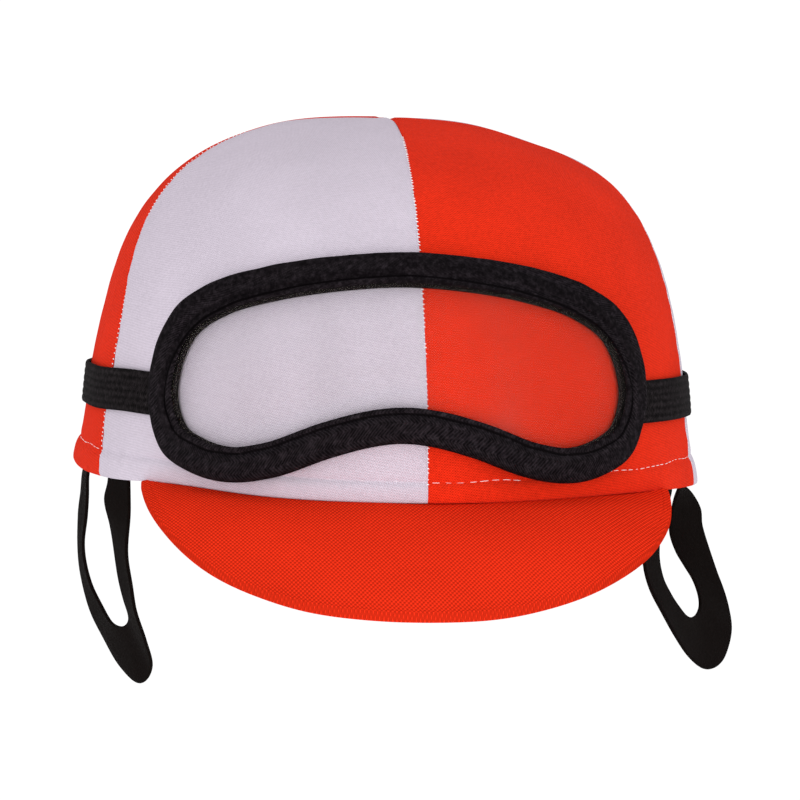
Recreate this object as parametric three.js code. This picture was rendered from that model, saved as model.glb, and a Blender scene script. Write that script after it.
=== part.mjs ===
import * as THREE from 'three';

// A jockey cap: a crown of four quarters with a turned hem, a stiff peak, goggles on an elastic
// strap worn round the crown, and two flat ear loops that hang from the hem.
// Lengths are in millimetres and angles in the tables in degrees. The origin is the middle of the
// head opening at the level of the hem. +Z is up and the peak points to -Y. An azimuth is 0 at the
// front and grows towards +X.

// Crown
const CROWN_WIDTH = 181;
const CROWN_FRONT = 107;
const CROWN_BACK = 109;
const CROWN_HEIGHT = 106.8;
const SEAMS_MEET_BACK = 20;
const FRONT_FULLNESS = 2.5;
const SIDE_FULLNESS = 2.74;
const BACK_FULLNESS = 2.8;
const CROWN_DENT = 1.6;
const CROWN_WALL = 2;
const SEAM_GAP = 0.3;

// Turned hem
const HEM_DEPTH = 6.5;
const HEM_SIDE_DEPTH = 9.6;
const HEM_SWELL = 0.9;
const HEM_FOLD = 1;
const HEM_FLARE = 3.4;
const HEM_LIFT = 2.2;
const FLARE_HEIGHT = 24;

// Peak
const PEAK_REACH = 60;
const PEAK_HALF_WIDTH = 75.2;
const PEAK_ASIDE = 3.2;
const PEAK_SKEW = 5;
const PEAK_LEFT_CORNER = -54;
const PEAK_RIGHT_CORNER = 60;
const PEAK_CORNER_BACK = 6;
const PEAK_DROP = 24.4;
const PEAK_THICKNESS = 3;
const PEAK_ROUNDNESS = 2.3;
const PEAK_DROP_CURVE = 1.6;
const PEAK_ARCH = 1.6;
const PEAK_TUCK = 5;
const PEAK_CORNER_SHARE = 0.02;

// Goggles
const GOGGLE_WIDTH = 158.2;
const GOGGLE_HEIGHT = 62.6;
const GOGGLE_MIDDLE_HEIGHT = 35.85;
const GOGGLE_TURN = -1;
const GOGGLE_TILT = 0.8;
const BAND_WIDTH = 9.7;
const BAND_DEPTH = 4.4;
const LENS_THICKNESS = 0.8;
const LENS_SEAT_DEPTH = 2.5;
const LENS_TUCK = 3;
const LENS_TIP_SHARE = 0.03;
const BAND_ROUNDING = 0.2;
const BAND_INNER_SIDE = 0.6;
const BAND_OUTER_SIDE = 0.7;

// Strap
const STRAP_WIDTH = 12;
const STRAP_THICKNESS = 1.1;
const STRAP_HEIGHT = 26.6;

// Ear loops
const LOOP_HOLE_SHARE = 0.5;
const LOOP_THICKNESS = 1;
const LOOP_TUCK = 6;
const LOOP_SWAY = 10;
const LEFT_LOOP_WIDTH = 66;
const LEFT_LOOP_LENGTH = 62;
const LEFT_LOOP_AHEAD = 16.5;
const RIGHT_LOOP_WIDTH = 61;
const RIGHT_LOOP_LENGTH = 55.5;
const RIGHT_LOOP_AHEAD = 19.5;

// Room left between pieces that touch
const GAP = 0.3;
const WORN_GAP = 0.6;
const STRAP_GAP = 0.35;
const STRAP_ROOM = 0.75;
const LOOP_ROOM = 0.5;

// How finely the faces are divided: a panel's columns every few degrees, and counts for the rest
const PANEL_STEP = 6;
const PANEL_ROWS = 11;
const PEAK_COLUMNS = 36;
const PEAK_ROWS = 7;
const BAND_STATIONS = 64;
const LENS_OUTLINE = 240;
const LENS_COLUMNS = 30;
const LENS_ROWS = 6;
const STRAP_COLUMNS = 60;
const STRAP_ROWS = 3;
const LOOP_COLUMNS = 4;
const LOOP_ROWS = 60;
const SLOPE_STEP = 0.01;
const AZIMUTH_STEP = 1.5;
const TINY = 1e-6;

const QUARTER = Math.PI / 2;
const FULL_TURN = 2 * Math.PI;

// The four seams of the crown, as azimuths. climb is a share of the way up the crown.
const SEAM_LINES = [
  { climb: 0, front: 3.6, left: -71, right: 78, back: 183 },
  { climb: 0.13, front: 3.2, left: -67, right: 75, back: 183 },
  { climb: 0.2, front: 2.9, left: -67, right: 75, back: 183 },
  { climb: 0.34, front: 2.5, left: -71, right: 78, back: 182 },
  { climb: 0.52, front: 2.1, left: -78, right: 83, back: 181 },
  { climb: 1, front: 0.8, left: -86, right: 90, back: 180 },
];

// Section of the hem from its lower edge up. up is a share of the hem's depth, swell a share of
// HEM_SWELL and fold a share of HEM_FOLD, the extra thickness of the cloth that is turned in.
const HEM_SECTION = [
  { up: 0, swell: -0.2, fold: 0.3 },
  { up: 0.1, swell: 0.6, fold: 1 },
  { up: 0.45, swell: 1, fold: 1 },
  { up: 0.8, swell: 0.5, fold: 1 },
  { up: 1, swell: -0.3, fold: 0.9 },
  { up: 1.2, swell: 0.1, fold: 0 },
  { up: 1.8, swell: 0, fold: 0 },
];

// Ripples of the hem round the crown. spread is the half-width of a ripple in degrees, flare a share
// of HEM_FLARE outwards and lift a share of HEM_LIFT upwards.
const HEM_RIPPLES = [
  { azimuth: -101, spread: 14, flare: 1.4, lift: 1.6 },
  { azimuth: -74, spread: 12, flare: -0.1, lift: 0.3 },
  { azimuth: -46, spread: 17, flare: 0, lift: 0.9 },
  { azimuth: 44, spread: 22, flare: 0, lift: 0.55 },
  { azimuth: 84, spread: 12, flare: 0.5, lift: -0.2 },
  { azimuth: 125, spread: 18, flare: 0.3, lift: 0.3 },
  { azimuth: 180, spread: 26, flare: 0.2, lift: 0.2 },
];

// Soft dents and bulges of the crown. climb is the angle up the crown, spread and width are half-widths
// in degrees round and up it, and out is a share of CROWN_DENT.
const CROWN_DENTS = [
  { azimuth: 88, spread: 40, climb: 18, width: 14, out: -0.5 },
  { azimuth: 88, spread: 40, climb: 46, width: 12, out: 0.8 },
  { azimuth: 88, spread: 45, climb: 70, width: 10, out: -1 },
  { azimuth: -92, spread: 40, climb: 20, width: 14, out: -0.8 },
  { azimuth: -92, spread: 45, climb: 56, width: 14, out: 0.5 },
  { azimuth: -92, spread: 45, climb: 76, width: 9, out: 0.4 },
];

// Middle line of the goggles' band, from the top middle round each side to the notch over the nose.
// along is a share of half the band's width, and left and right are shares of half its height.
const BAND_LINE = [
  { along: 0, left: 1, right: 1 },
  { along: 0.25, left: 0.955, right: 0.951 },
  { along: 0.5, left: 0.85, right: 0.833 },
  { along: 0.72, left: 0.695, right: 0.657 },
  { along: 0.89, left: 0.443, right: 0.393 },
  { along: 0.98, left: 0.06, right: 0.02 },
  { along: 1, left: -0.36, right: -0.36 },
  { along: 0.93, left: -0.755, right: -0.755 },
  { along: 0.8, left: -0.93, right: -0.93 },
  { along: 0.65, left: -1, right: -1 },
  { along: 0.48, left: -0.93, right: -0.93 },
  { along: 0.28, left: -0.725, right: -0.725 },
  { along: 0.12, left: -0.6, right: -0.6 },
  { along: 0, left: -0.563, right: -0.563 },
];

// Inner and outer edge of each ear loop, from its front end in the hem round to its back end.
// turn is a share of half the edge's width, down a share of the loop's length, or of the tuck in
// the hem above it, and out a share of LOOP_SWAY towards +X.
const LEFT_LOOP_EDGES = [
  { turn: -1, innerDown: -1, innerOut: 0, outerDown: -1, outerOut: 0 },
  { turn: -1, innerDown: 0.02, innerOut: -0.06, outerDown: 0.02, outerOut: 0.02 },
  { turn: -1, innerDown: 0.1, innerOut: -0.15, outerDown: 0.11, outerOut: 0.01 },
  { turn: -1, innerDown: 0.22, innerOut: 0.02, outerDown: 0.24, outerOut: -0.01 },
  { turn: -1, innerDown: 0.36, innerOut: 0.18, outerDown: 0.36, outerOut: 0.01 },
  { turn: -1, innerDown: 0.48, innerOut: 0.33, outerDown: 0.48, outerOut: 0.1 },
  { turn: -0.96, innerDown: 0.57, innerOut: 0.48, outerDown: 0.59, outerOut: 0.28 },
  { turn: -0.77, innerDown: 0.65, innerOut: 0.69, outerDown: 0.75, outerOut: 0.82 },
  { turn: -0.42, innerDown: 0.7, innerOut: 0.79, outerDown: 0.89, outerOut: 1.37 },
  { turn: 0, innerDown: 0.73, innerOut: 0.74, outerDown: 1, outerOut: 1.39 },
  { turn: 0.42, innerDown: 0.72, innerOut: 0.59, outerDown: 0.95, outerOut: 1.04 },
  { turn: 0.77, innerDown: 0.65, innerOut: 0.4, outerDown: 0.83, outerOut: 0.66 },
  { turn: 0.96, innerDown: 0.56, innerOut: 0.15, outerDown: 0.7, outerOut: 0.24 },
  { turn: 1, innerDown: 0.45, innerOut: -0.03, outerDown: 0.53, outerOut: -0.05 },
  { turn: 1, innerDown: 0.35, innerOut: -0.1, outerDown: 0.37, outerOut: -0.17 },
  { turn: 1, innerDown: 0.23, innerOut: -0.04, outerDown: 0.25, outerOut: -0.15 },
  { turn: 1, innerDown: 0.12, innerOut: 0.01, outerDown: 0.14, outerOut: -0.08 },
  { turn: 1, innerDown: 0.02, innerOut: 0.02, outerDown: 0.02, outerOut: -0.05 },
  { turn: 1, innerDown: -1, innerOut: 0, outerDown: -1, outerOut: 0 },
];
const RIGHT_LOOP_EDGES = [
  { turn: -1, innerDown: -1, innerOut: 0, outerDown: -1, outerOut: 0 },
  { turn: -1, innerDown: 0.02, innerOut: -0.04, outerDown: 0.02, outerOut: -0.06 },
  { turn: -1, innerDown: 0.12, innerOut: -0.2, outerDown: 0.12, outerOut: -0.26 },
  { turn: -1, innerDown: 0.23, innerOut: -0.3, outerDown: 0.23, outerOut: -0.37 },
  { turn: -1, innerDown: 0.38, innerOut: -0.33, outerDown: 0.39, outerOut: -0.33 },
  { turn: -1, innerDown: 0.49, innerOut: -0.2, outerDown: 0.51, outerOut: -0.14 },
  { turn: -0.96, innerDown: 0.57, innerOut: 0.02, outerDown: 0.64, outerOut: 0.19 },
  { turn: -0.77, innerDown: 0.64, innerOut: 0.22, outerDown: 0.78, outerOut: 0.45 },
  { turn: -0.42, innerDown: 0.7, innerOut: 0.36, outerDown: 0.91, outerOut: 0.67 },
  { turn: 0, innerDown: 0.72, innerOut: 0.49, outerDown: 1, outerOut: 1.05 },
  { turn: 0.42, innerDown: 0.71, innerOut: 0.65, outerDown: 0.96, outerOut: 1.53 },
  { turn: 0.77, innerDown: 0.67, innerOut: 0.74, outerDown: 0.83, outerOut: 1.9 },
  { turn: 0.96, innerDown: 0.61, innerOut: 0.71, outerDown: 0.72, outerOut: 1.97 },
  { turn: 1, innerDown: 0.54, innerOut: 0.56, outerDown: 0.63, outerOut: 1.85 },
  { turn: 1, innerDown: 0.47, innerOut: 0.32, outerDown: 0.52, outerOut: 1.6 },
  { turn: 1, innerDown: 0.39, innerOut: 0.05, outerDown: 0.39, outerOut: 1.34 },
  { turn: 1, innerDown: 0.29, innerOut: -0.15, outerDown: 0.27, outerOut: 1.15 },
  { turn: 1, innerDown: 0.2, innerOut: -0.2, outerDown: 0.18, outerOut: 0.98 },
  { turn: 1, innerDown: 0.1, innerOut: -0.14, outerDown: 0.1, outerOut: 0.6 },
  { turn: 1, innerDown: 0.02, innerOut: -0.03, outerDown: 0.02, outerOut: 0.06 },
  { turn: 1, innerDown: -1, innerOut: 0, outerDown: -1, outerOut: 0 },
];

const radians = (degrees) => degrees * Math.PI / 180;
const mix = (from, to, share) => from + (to - from) * share;
const clamp = THREE.MathUtils.clamp;

// A closed wall between an outer and an inner face, each a function of two shares from 0 to 1.
// As seen from outside, the first share runs to the right and the second one up. A tip draws the
// upper edge together into one point.
function closedWall(columns, rows, outerFace, innerFace, { tip = false } = {}) {
  const positions = [];
  const triangles = [];
  const layers = [outerFace, innerFace].map((face) => {
    const layer = [];
    for (let row = 0; row <= rows; row += 1) {
      const line = [];
      const length = tip && row === rows ? 1 : columns + 1;
      for (let column = 0; column < length; column += 1) {
        line.push(positions.length / 3);
        positions.push(...face(column / columns, row / rows).toArray());
      }
      layer.push(line);
    }
    return layer;
  });
  const corner = (layer, column, row) => layers[layer][row][column % layers[layer][row].length];
  const quad = (a, b, c, d) => {
    triangles.push(a, b, c);
    if (c !== d) {
      triangles.push(a, c, d);
    }
  };
  const rim = ([column, row], [nextColumn, nextRow]) => quad(
    corner(0, nextColumn, nextRow),
    corner(0, column, row),
    corner(1, column, row),
    corner(1, nextColumn, nextRow),
  );
  for (let row = 0; row < rows; row += 1) {
    for (let column = 0; column < columns; column += 1) {
      const right = column + 1;
      const above = row + 1;
      quad(corner(0, column, row), corner(0, right, row), corner(0, right, above), corner(0, column, above));
      quad(corner(1, right, row), corner(1, column, row), corner(1, column, above), corner(1, right, above));
    }
  }
  for (let column = 0; column < columns; column += 1) {
    rim([column, 0], [column + 1, 0]);
    if (!tip) {
      rim([column + 1, rows], [column, rows]);
    }
  }
  for (let row = 0; row < rows; row += 1) {
    rim([columns, row], [columns, row + 1]);
    rim([0, row + 1], [0, row]);
  }
  const geometry = new THREE.BufferGeometry();
  geometry.setAttribute('position', new THREE.Float32BufferAttribute(positions, 3));
  geometry.setIndex(triangles);
  return geometry;
}

function crownFullness(azimuth) {
  const end = Math.cos(azimuth) > 0 ? FRONT_FULLNESS : BACK_FULLNESS;
  return mix(end, SIDE_FULLNESS, Math.sin(azimuth) ** 2);
}

// How far an azimuth lies from a table row's, as a share of the row's spread.
function spreadFrom(azimuth, row) {
  const turn = THREE.MathUtils.euclideanModulo(azimuth - radians(row.azimuth) + Math.PI, FULL_TURN);
  return (turn - Math.PI) / radians(row.spread);
}

function crownDent(azimuth, climb) {
  let sum = 0;
  for (const row of CROWN_DENTS) {
    const upwards = (climb - radians(row.climb)) / radians(row.width);
    sum += row.out * Math.exp(-(spreadFrom(azimuth, row) ** 2) - upwards ** 2);
  }
  return CROWN_DENT * sum;
}

// The crown's outer face. climb is 0 at the level of the hem and a quarter turn at the top, where
// the seams meet.
function crownPoint(azimuth, climb) {
  const power = 2 / crownFullness(azimuth);
  const reach = Math.cos(climb) ** power;
  const length = Math.cos(azimuth) > 0 ? CROWN_FRONT : CROWN_BACK;
  const dent = crownDent(azimuth, climb);
  return new THREE.Vector3(
    0.5 * CROWN_WIDTH * Math.sin(azimuth) * reach + dent * Math.sin(azimuth) * Math.cos(climb),
    mix(SEAMS_MEET_BACK, -length * Math.cos(azimuth), reach) - dent * Math.cos(azimuth) * Math.cos(climb),
    CROWN_HEIGHT * Math.sin(climb) ** power + dent * Math.sin(climb),
  );
}

function climbAt(azimuth, height) {
  const share = clamp(height / CROWN_HEIGHT, 0, 1);
  return Math.asin(share ** (crownFullness(azimuth) / 2));
}

function crownNormal(azimuth, climb) {
  const middle = clamp(climb, 3 * SLOPE_STEP, QUARTER - 3 * SLOPE_STEP);
  const sideways = crownPoint(azimuth + SLOPE_STEP, middle).sub(crownPoint(azimuth - SLOPE_STEP, middle));
  const upwards = crownPoint(azimuth, middle + SLOPE_STEP).sub(crownPoint(azimuth, middle - SLOPE_STEP));
  return sideways.cross(upwards).normalize();
}

// A point off the crown at an azimuth and a height, which may lie a little below the hem.
function offCrown(azimuth, height, off) {
  const climb = climbAt(azimuth, height);
  const point = crownPoint(azimuth, climb);
  point.z = height;
  return point.addScaledVector(crownNormal(azimuth, climb), off);
}

function ripple(azimuth, column) {
  let sum = 0;
  for (const row of HEM_RIPPLES) {
    sum += row[column] * Math.exp(-(spreadFrom(azimuth, row) ** 2));
  }
  return sum;
}

// The hem is deeper at the sides than at the front and the back.
const hemDepth = (azimuth) => mix(HEM_DEPTH, HEM_SIDE_DEPTH, Math.sin(azimuth) ** 2);
const hemEdgeHeight = (azimuth) => HEM_LIFT * ripple(azimuth, 'lift');
const seatAboveHem = (height) => Math.max(0, 1 - height / FLARE_HEIGHT) ** 2;
const flareOut = (azimuth, height) => HEM_FLARE * ripple(azimuth, 'flare') * seatAboveHem(height);

// The azimuth of a seam at a climb.
function seamAzimuth(seam, climb) {
  const share = clamp(climb / QUARTER, 0, 1);
  const after = SEAM_LINES.findIndex((row) => row.climb > share);
  const to = SEAM_LINES[after < 0 ? SEAM_LINES.length - 1 : after];
  const from = SEAM_LINES[SEAM_LINES.indexOf(to) - 1];
  return radians(mix(from[seam], to[seam], (share - from.climb) / (to.climb - from.climb)));
}

// One quarter of the crown between two seams, moved off its neighbours by half the seams' gap.
function crownPanel(fromSeam, toSeam) {
  const azimuthAt = (across, climb) => {
    const from = seamAzimuth(fromSeam, climb);
    const to = seamAzimuth(toSeam, climb);
    return mix(from, to < from ? to + FULL_TURN : to, across);
  };
  const columns = Math.round((azimuthAt(1, 0) - azimuthAt(0, 0)) / radians(PANEL_STEP));
  const hemRows = HEM_SECTION.length;
  const rows = hemRows + PANEL_ROWS;
  const shift = new THREE.Vector3(
    Math.sign(Math.sin(azimuthAt(0.5, 0))),
    -Math.sign(Math.cos(azimuthAt(0.5, 0))),
    0,
  ).multiplyScalar(SEAM_GAP / 2);

  function place(across, up, inner) {
    const foot = azimuthAt(across, 0);
    const row = Math.round(up * rows);
    const section = HEM_SECTION[Math.min(row, hemRows - 1)];
    const edge = hemEdgeHeight(foot);
    const thickness = CROWN_WALL + HEM_FOLD * section.fold;
    if (row < hemRows) {
      const height = section.up * hemDepth(foot) + edge * (1 - row / hemRows);
      const azimuth = azimuthAt(across, climbAt(foot, height));
      const off = HEM_SWELL * section.swell + flareOut(foot, height);
      return offCrown(azimuth, height, off - inner * thickness).add(shift);
    }
    const start = climbAt(foot, section.up * hemDepth(foot) + edge / hemRows);
    const climb = mix(start, QUARTER, (row - hemRows + 1) / (rows - hemRows + 1));
    const azimuth = azimuthAt(across, climb);
    const point = crownPoint(azimuth, climb);
    const off = flareOut(azimuth, point.z) - inner * thickness;
    return point.addScaledVector(crownNormal(azimuth, climb), off).add(shift);
  }

  return closedWall(columns, rows, (u, v) => place(u, v, 0), (u, v) => place(u, v, 1), { tip: true });
}

// The peak is a stiff sheet from under the hem to a rounded front edge.
function peakSheet() {
  const left = radians(PEAK_LEFT_CORNER);
  const right = radians(PEAK_RIGHT_CORNER);
  const cornerY = (across) => PEAK_CORNER_BACK - CROWN_FRONT * mix(Math.cos(left), Math.cos(right), across);
  const underHem = (azimuth) => hemEdgeHeight(azimuth) - GAP;

  // Both edges at a share from one corner to the other.
  function root(across) {
    const azimuth = mix(left, right, across);
    const point = offCrown(azimuth, 0, -PEAK_TUCK);
    point.z = underHem(azimuth);
    return point;
  }
  function front(across) {
    const turn = mix(-QUARTER, QUARTER, mix(PEAK_CORNER_SHARE, 1 - PEAK_CORNER_SHARE, across));
    const power = 2 / PEAK_ROUNDNESS;
    const forward = Math.cos(turn) ** power;
    const aside = PEAK_HALF_WIDTH * Math.sign(turn) * Math.abs(Math.sin(turn)) ** power;
    return new THREE.Vector3(
      aside + PEAK_ASIDE - PEAK_SKEW * forward ** 2,
      mix(cornerY(across), -PEAK_REACH - CROWN_FRONT, forward),
      mix(underHem(left), underHem(right), across) - PEAK_DROP * forward ** PEAK_DROP_CURVE,
    );
  }
  function top(across, out) {
    const from = root(across);
    const to = front(across);
    const tucked = PEAK_TUCK / Math.max(from.distanceTo(to), PEAK_TUCK);
    const slope = Math.max(0, (out - tucked) / (1 - tucked + TINY));
    const point = from.clone().lerp(to, out);
    point.z = mix(from.z, to.z, slope);
    point.z += PEAK_ARCH * Math.sin(Math.PI * slope) * Math.sin(Math.PI * across);
    return point;
  }
  const under = new THREE.Vector3(0, 0, -PEAK_THICKNESS);
  const outwards = (v) => 1 - v;
  return closedWall(
    PEAK_COLUMNS,
    PEAK_ROWS,
    (u, v) => top(u, outwards(v)),
    (u, v) => top(u, outwards(v)).add(under),
  );
}

// The goggles follow the crown. along is a length round the crown from the goggles' middle and up a
// height over their middle line.
function goggleAzimuth(along, height) {
  const step = radians(AZIMUTH_STEP) * Math.sign(along);
  let azimuth = radians(GOGGLE_TURN);
  let left = Math.abs(along);
  while (left > 0) {
    const length = offCrown(azimuth, height, 0).distanceTo(offCrown(azimuth + step, height, 0));
    azimuth += step * Math.min(1, left / length);
    left -= length;
  }
  return azimuth;
}

// They stand off further where they pass over the hem, which ends where no cloth is folded in.
function gogglePoint(along, up, off) {
  const height = GOGGLE_MIDDLE_HEIGHT + up + along * Math.tan(radians(GOGGLE_TILT));
  const azimuth = goggleAzimuth(along, height);
  const hem = HEM_SECTION.find((row) => row.fold === 0).up * hemDepth(azimuth);
  const overHem = HEM_SWELL * clamp(2 - height / hem, 0, 1);
  return offCrown(azimuth, height, off + overHem);
}

// The band's middle line as a closed curve in the flat: x is along and y is up.
function bandCurve() {
  const halfWidth = 0.5 * (GOGGLE_WIDTH - BAND_WIDTH);
  const halfHeight = 0.5 * (GOGGLE_HEIGHT - BAND_WIDTH);
  const right = BAND_LINE.map((row) => new THREE.Vector3(row.along * halfWidth, row.right * halfHeight, 0));
  const left = BAND_LINE.slice(1, -1).reverse()
    .map((row) => new THREE.Vector3(-row.along * halfWidth, row.left * halfHeight, 0));
  return new THREE.CatmullRomCurve3([...right, ...left], true, 'centripetal');
}

// A point of the flat outline that lies a length inside the band's middle line.
function insetPoint(curve, share, inset) {
  const point = curve.getPointAt(share);
  const tangent = curve.getTangentAt(share);
  const climb = climbAt(0, GOGGLE_MIDDLE_HEIGHT + point.y);
  const upright = Math.hypot(crownNormal(0, climb).x, crownNormal(0, climb).y);
  return new THREE.Vector2(point.x + tangent.y * inset, point.y - tangent.x * inset * upright);
}

function goggleFrame() {
  const half = BAND_WIDTH / 2;
  const back = WORN_GAP;
  const seatBack = LENS_SEAT_DEPTH - GAP;
  const seatFront = LENS_SEAT_DEPTH + LENS_THICKNESS + GAP;
  const face = WORN_GAP + BAND_DEPTH;
  const round = BAND_ROUNDING * BAND_WIDTH;
  const seat = half - LENS_TUCK - GAP;
  const section = [
    [-half, back],
    [half, back],
    [half, seatBack],
    [seat, seatBack],
    [seat, seatFront],
    [half, seatFront],
    [half, mix(seatFront, face, BAND_INNER_SIDE)],
    [half - round, face],
    [round - half, face],
    [-half, mix(back, face, BAND_OUTER_SIDE)],
  ];
  const curve = bandCurve();
  const positions = [];
  const triangles = [];
  for (let station = 0; station < BAND_STATIONS; station += 1) {
    for (const [inset, off] of section) {
      const flat = insetPoint(curve, station / BAND_STATIONS, inset);
      positions.push(...gogglePoint(flat.x, flat.y, off).toArray());
    }
  }
  for (let station = 0; station < BAND_STATIONS; station += 1) {
    const next = (station + 1) % BAND_STATIONS;
    for (let index = 0; index < section.length; index += 1) {
      const after = (index + 1) % section.length;
      const a = station * section.length + index;
      const b = station * section.length + after;
      const c = next * section.length + after;
      const d = next * section.length + index;
      triangles.push(a, c, b, a, d, c);
    }
  }
  const geometry = new THREE.BufferGeometry();
  geometry.setAttribute('position', new THREE.Float32BufferAttribute(positions, 3));
  geometry.setIndex(triangles);
  return geometry;
}

// The lens fills the frame's seat. It is built in upright columns between the outline's upper and
// lower side.
function goggleLens() {
  const curve = bandCurve();
  const inset = BAND_WIDTH / 2 - LENS_TUCK;
  const outline = [];
  for (let sample = 0; sample < LENS_OUTLINE; sample += 1) {
    outline.push(insetPoint(curve, sample / LENS_OUTLINE, inset));
  }
  const reach = Math.max(...outline.map((point) => point.x));
  const crossings = (x) => {
    const heights = [];
    for (let index = 0; index < LENS_OUTLINE; index += 1) {
      const from = outline[index];
      const to = outline[(index + 1) % LENS_OUTLINE];
      if ((from.x - x) * (to.x - x) <= 0 && from.x !== to.x) {
        heights.push(mix(from.y, to.y, (x - from.x) / (to.x - from.x)));
      }
    }
    return [Math.min(...heights), Math.max(...heights)];
  };
  const place = (u, v, off) => {
    const x = -reach * Math.cos(Math.PI * mix(LENS_TIP_SHARE, 1 - LENS_TIP_SHARE, u));
    const [low, high] = crossings(x);
    return gogglePoint(x, mix(low, high, v), off);
  };
  const outer = LENS_SEAT_DEPTH + LENS_THICKNESS;
  return closedWall(
    LENS_COLUMNS,
    LENS_ROWS,
    (u, v) => place(u, v, outer),
    (u, v) => place(u, v, LENS_SEAT_DEPTH),
  );
}

// The strap runs from one end of the goggles round the back of the crown to the other end.
function goggleStrap() {
  const end = 0.5 * GOGGLE_WIDTH + STRAP_ROOM;
  const place = (u, v, off) => {
    const height = STRAP_HEIGHT + mix(-0.5, 0.5, v) * STRAP_WIDTH;
    const from = goggleAzimuth(end, STRAP_HEIGHT);
    const to = goggleAzimuth(-end, STRAP_HEIGHT) + FULL_TURN;
    return offCrown(mix(from, to, u), height, off);
  };
  const outer = STRAP_GAP + STRAP_THICKNESS;
  return closedWall(
    STRAP_COLUMNS,
    STRAP_ROWS,
    (u, v) => place(u, v, outer),
    (u, v) => place(u, v, STRAP_GAP),
  );
}

// The middle of a loop's band where it lies inside the hem, a length behind the middle of the opening.
function insideHem(side, behind, height) {
  const length = behind < 0 ? CROWN_FRONT : CROWN_BACK;
  const azimuth = side * Math.acos(clamp(-behind / length, -1, 1));
  const inwards = CROWN_WALL + HEM_FOLD + LOOP_ROOM + LOOP_THICKNESS / 2;
  return offCrown(azimuth, 0, flareOut(azimuth, Math.max(height, 0)) - inwards);
}

// An ear loop is a flat band cut in a U whose ends go up inside the hem.
function earLoop(side, edges, width, length, ahead) {
  const edgeCurve = (reach, downColumn, outColumn) => new THREE.CatmullRomCurve3(edges.map((row) => {
    const behind = 0.5 * width * reach * row.turn - ahead;
    const down = row[downColumn] < 0 ? row[downColumn] * LOOP_TUCK : row[downColumn] * length;
    return insideHem(side, behind, -down).add(new THREE.Vector3(row[outColumn] * LOOP_SWAY, 0, -down));
  }), false, 'centripetal');
  const inner = edgeCurve(LOOP_HOLE_SHARE, 'innerDown', 'innerOut');
  const outer = edgeCurve(1, 'outerDown', 'outerOut');

  function place(across, share, off) {
    const from = inner.getPoint(share);
    const to = outer.getPoint(share);
    const along = inner.getTangent(share).lerp(outer.getTangent(share), across);
    const normal = to.clone().sub(from).cross(along).normalize();
    return from.lerp(to, across).addScaledVector(normal, off);
  }

  const half = LOOP_THICKNESS / 2;
  return closedWall(LOOP_COLUMNS, LOOP_ROWS, (u, v) => place(u, v, half), (u, v) => place(u, v, -half));
}

function cloth(color) {
  return new THREE.MeshStandardMaterial({ color, roughness: 0.55, metalness: 0 });
}

const WHITE = '#e6e2ea';
const RED = '#d8301a';
const BLACK = '#1b1b1d';

const group = new THREE.Group();

function add(name, geometry, material) {
  geometry.computeVertexNormals();
  const mesh = new THREE.Mesh(geometry, material);
  mesh.name = name;
  group.add(mesh);
}

add('crown_panel_front_left', crownPanel('left', 'front'), cloth(WHITE));
add('crown_panel_front_right', crownPanel('front', 'right'), cloth(RED));
add('crown_panel_back_right', crownPanel('right', 'back'), cloth(WHITE));
add('crown_panel_back_left', crownPanel('back', 'left'), cloth(RED));
add('peak', peakSheet(), cloth(RED));
add('goggle_frame', goggleFrame(), cloth(BLACK));
add('goggle_lens', goggleLens(), new THREE.MeshStandardMaterial({
  color: '#e8ecee',
  roughness: 0.08,
  metalness: 0,
  transparent: true,
  opacity: 0.3,
}));
add('goggle_strap', goggleStrap(), cloth(BLACK));
const leftLoop = earLoop(-1, LEFT_LOOP_EDGES, LEFT_LOOP_WIDTH, LEFT_LOOP_LENGTH, LEFT_LOOP_AHEAD);
const rightLoop = earLoop(1, RIGHT_LOOP_EDGES, RIGHT_LOOP_WIDTH, RIGHT_LOOP_LENGTH, RIGHT_LOOP_AHEAD);
add('ear_loop_left', leftLoop, cloth(BLACK));
add('ear_loop_right', rightLoop, cloth(BLACK));

export default group;
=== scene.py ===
import math

import bpy
import numpy as np
from bpy.props import FloatProperty, FloatVectorProperty, PointerProperty
from mathutils import Matrix, Vector


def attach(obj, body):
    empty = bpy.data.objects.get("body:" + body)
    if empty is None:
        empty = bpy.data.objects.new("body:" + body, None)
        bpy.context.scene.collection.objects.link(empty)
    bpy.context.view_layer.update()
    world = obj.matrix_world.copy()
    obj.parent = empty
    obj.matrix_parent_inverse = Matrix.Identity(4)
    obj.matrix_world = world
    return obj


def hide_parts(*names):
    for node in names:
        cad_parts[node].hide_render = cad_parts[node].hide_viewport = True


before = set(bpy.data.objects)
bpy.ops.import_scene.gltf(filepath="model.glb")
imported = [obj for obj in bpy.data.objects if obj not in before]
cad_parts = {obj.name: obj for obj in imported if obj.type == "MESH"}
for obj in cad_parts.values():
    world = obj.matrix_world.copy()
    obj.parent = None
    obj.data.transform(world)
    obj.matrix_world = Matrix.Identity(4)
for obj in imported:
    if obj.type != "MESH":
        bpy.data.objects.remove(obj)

bl_info = {
    "name": "Jockey Cap",
    "version": (1, 0, 0),
    "blender": (4, 5, 0),
    "location": "View3D > Sidebar > Jockey Cap",
    "description": "Dresses a quartered jockey cap with goggles, strap and ear loops",
    "category": "Object",
}

# Lengths are in metres. +Z is up, the peak points to -Y, and an azimuth is 0 at the front and
# grows towards +X.
MM = 0.001
QUARTER = math.pi / 2
FULL_TURN = 2 * math.pi
BODY = "root"

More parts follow.
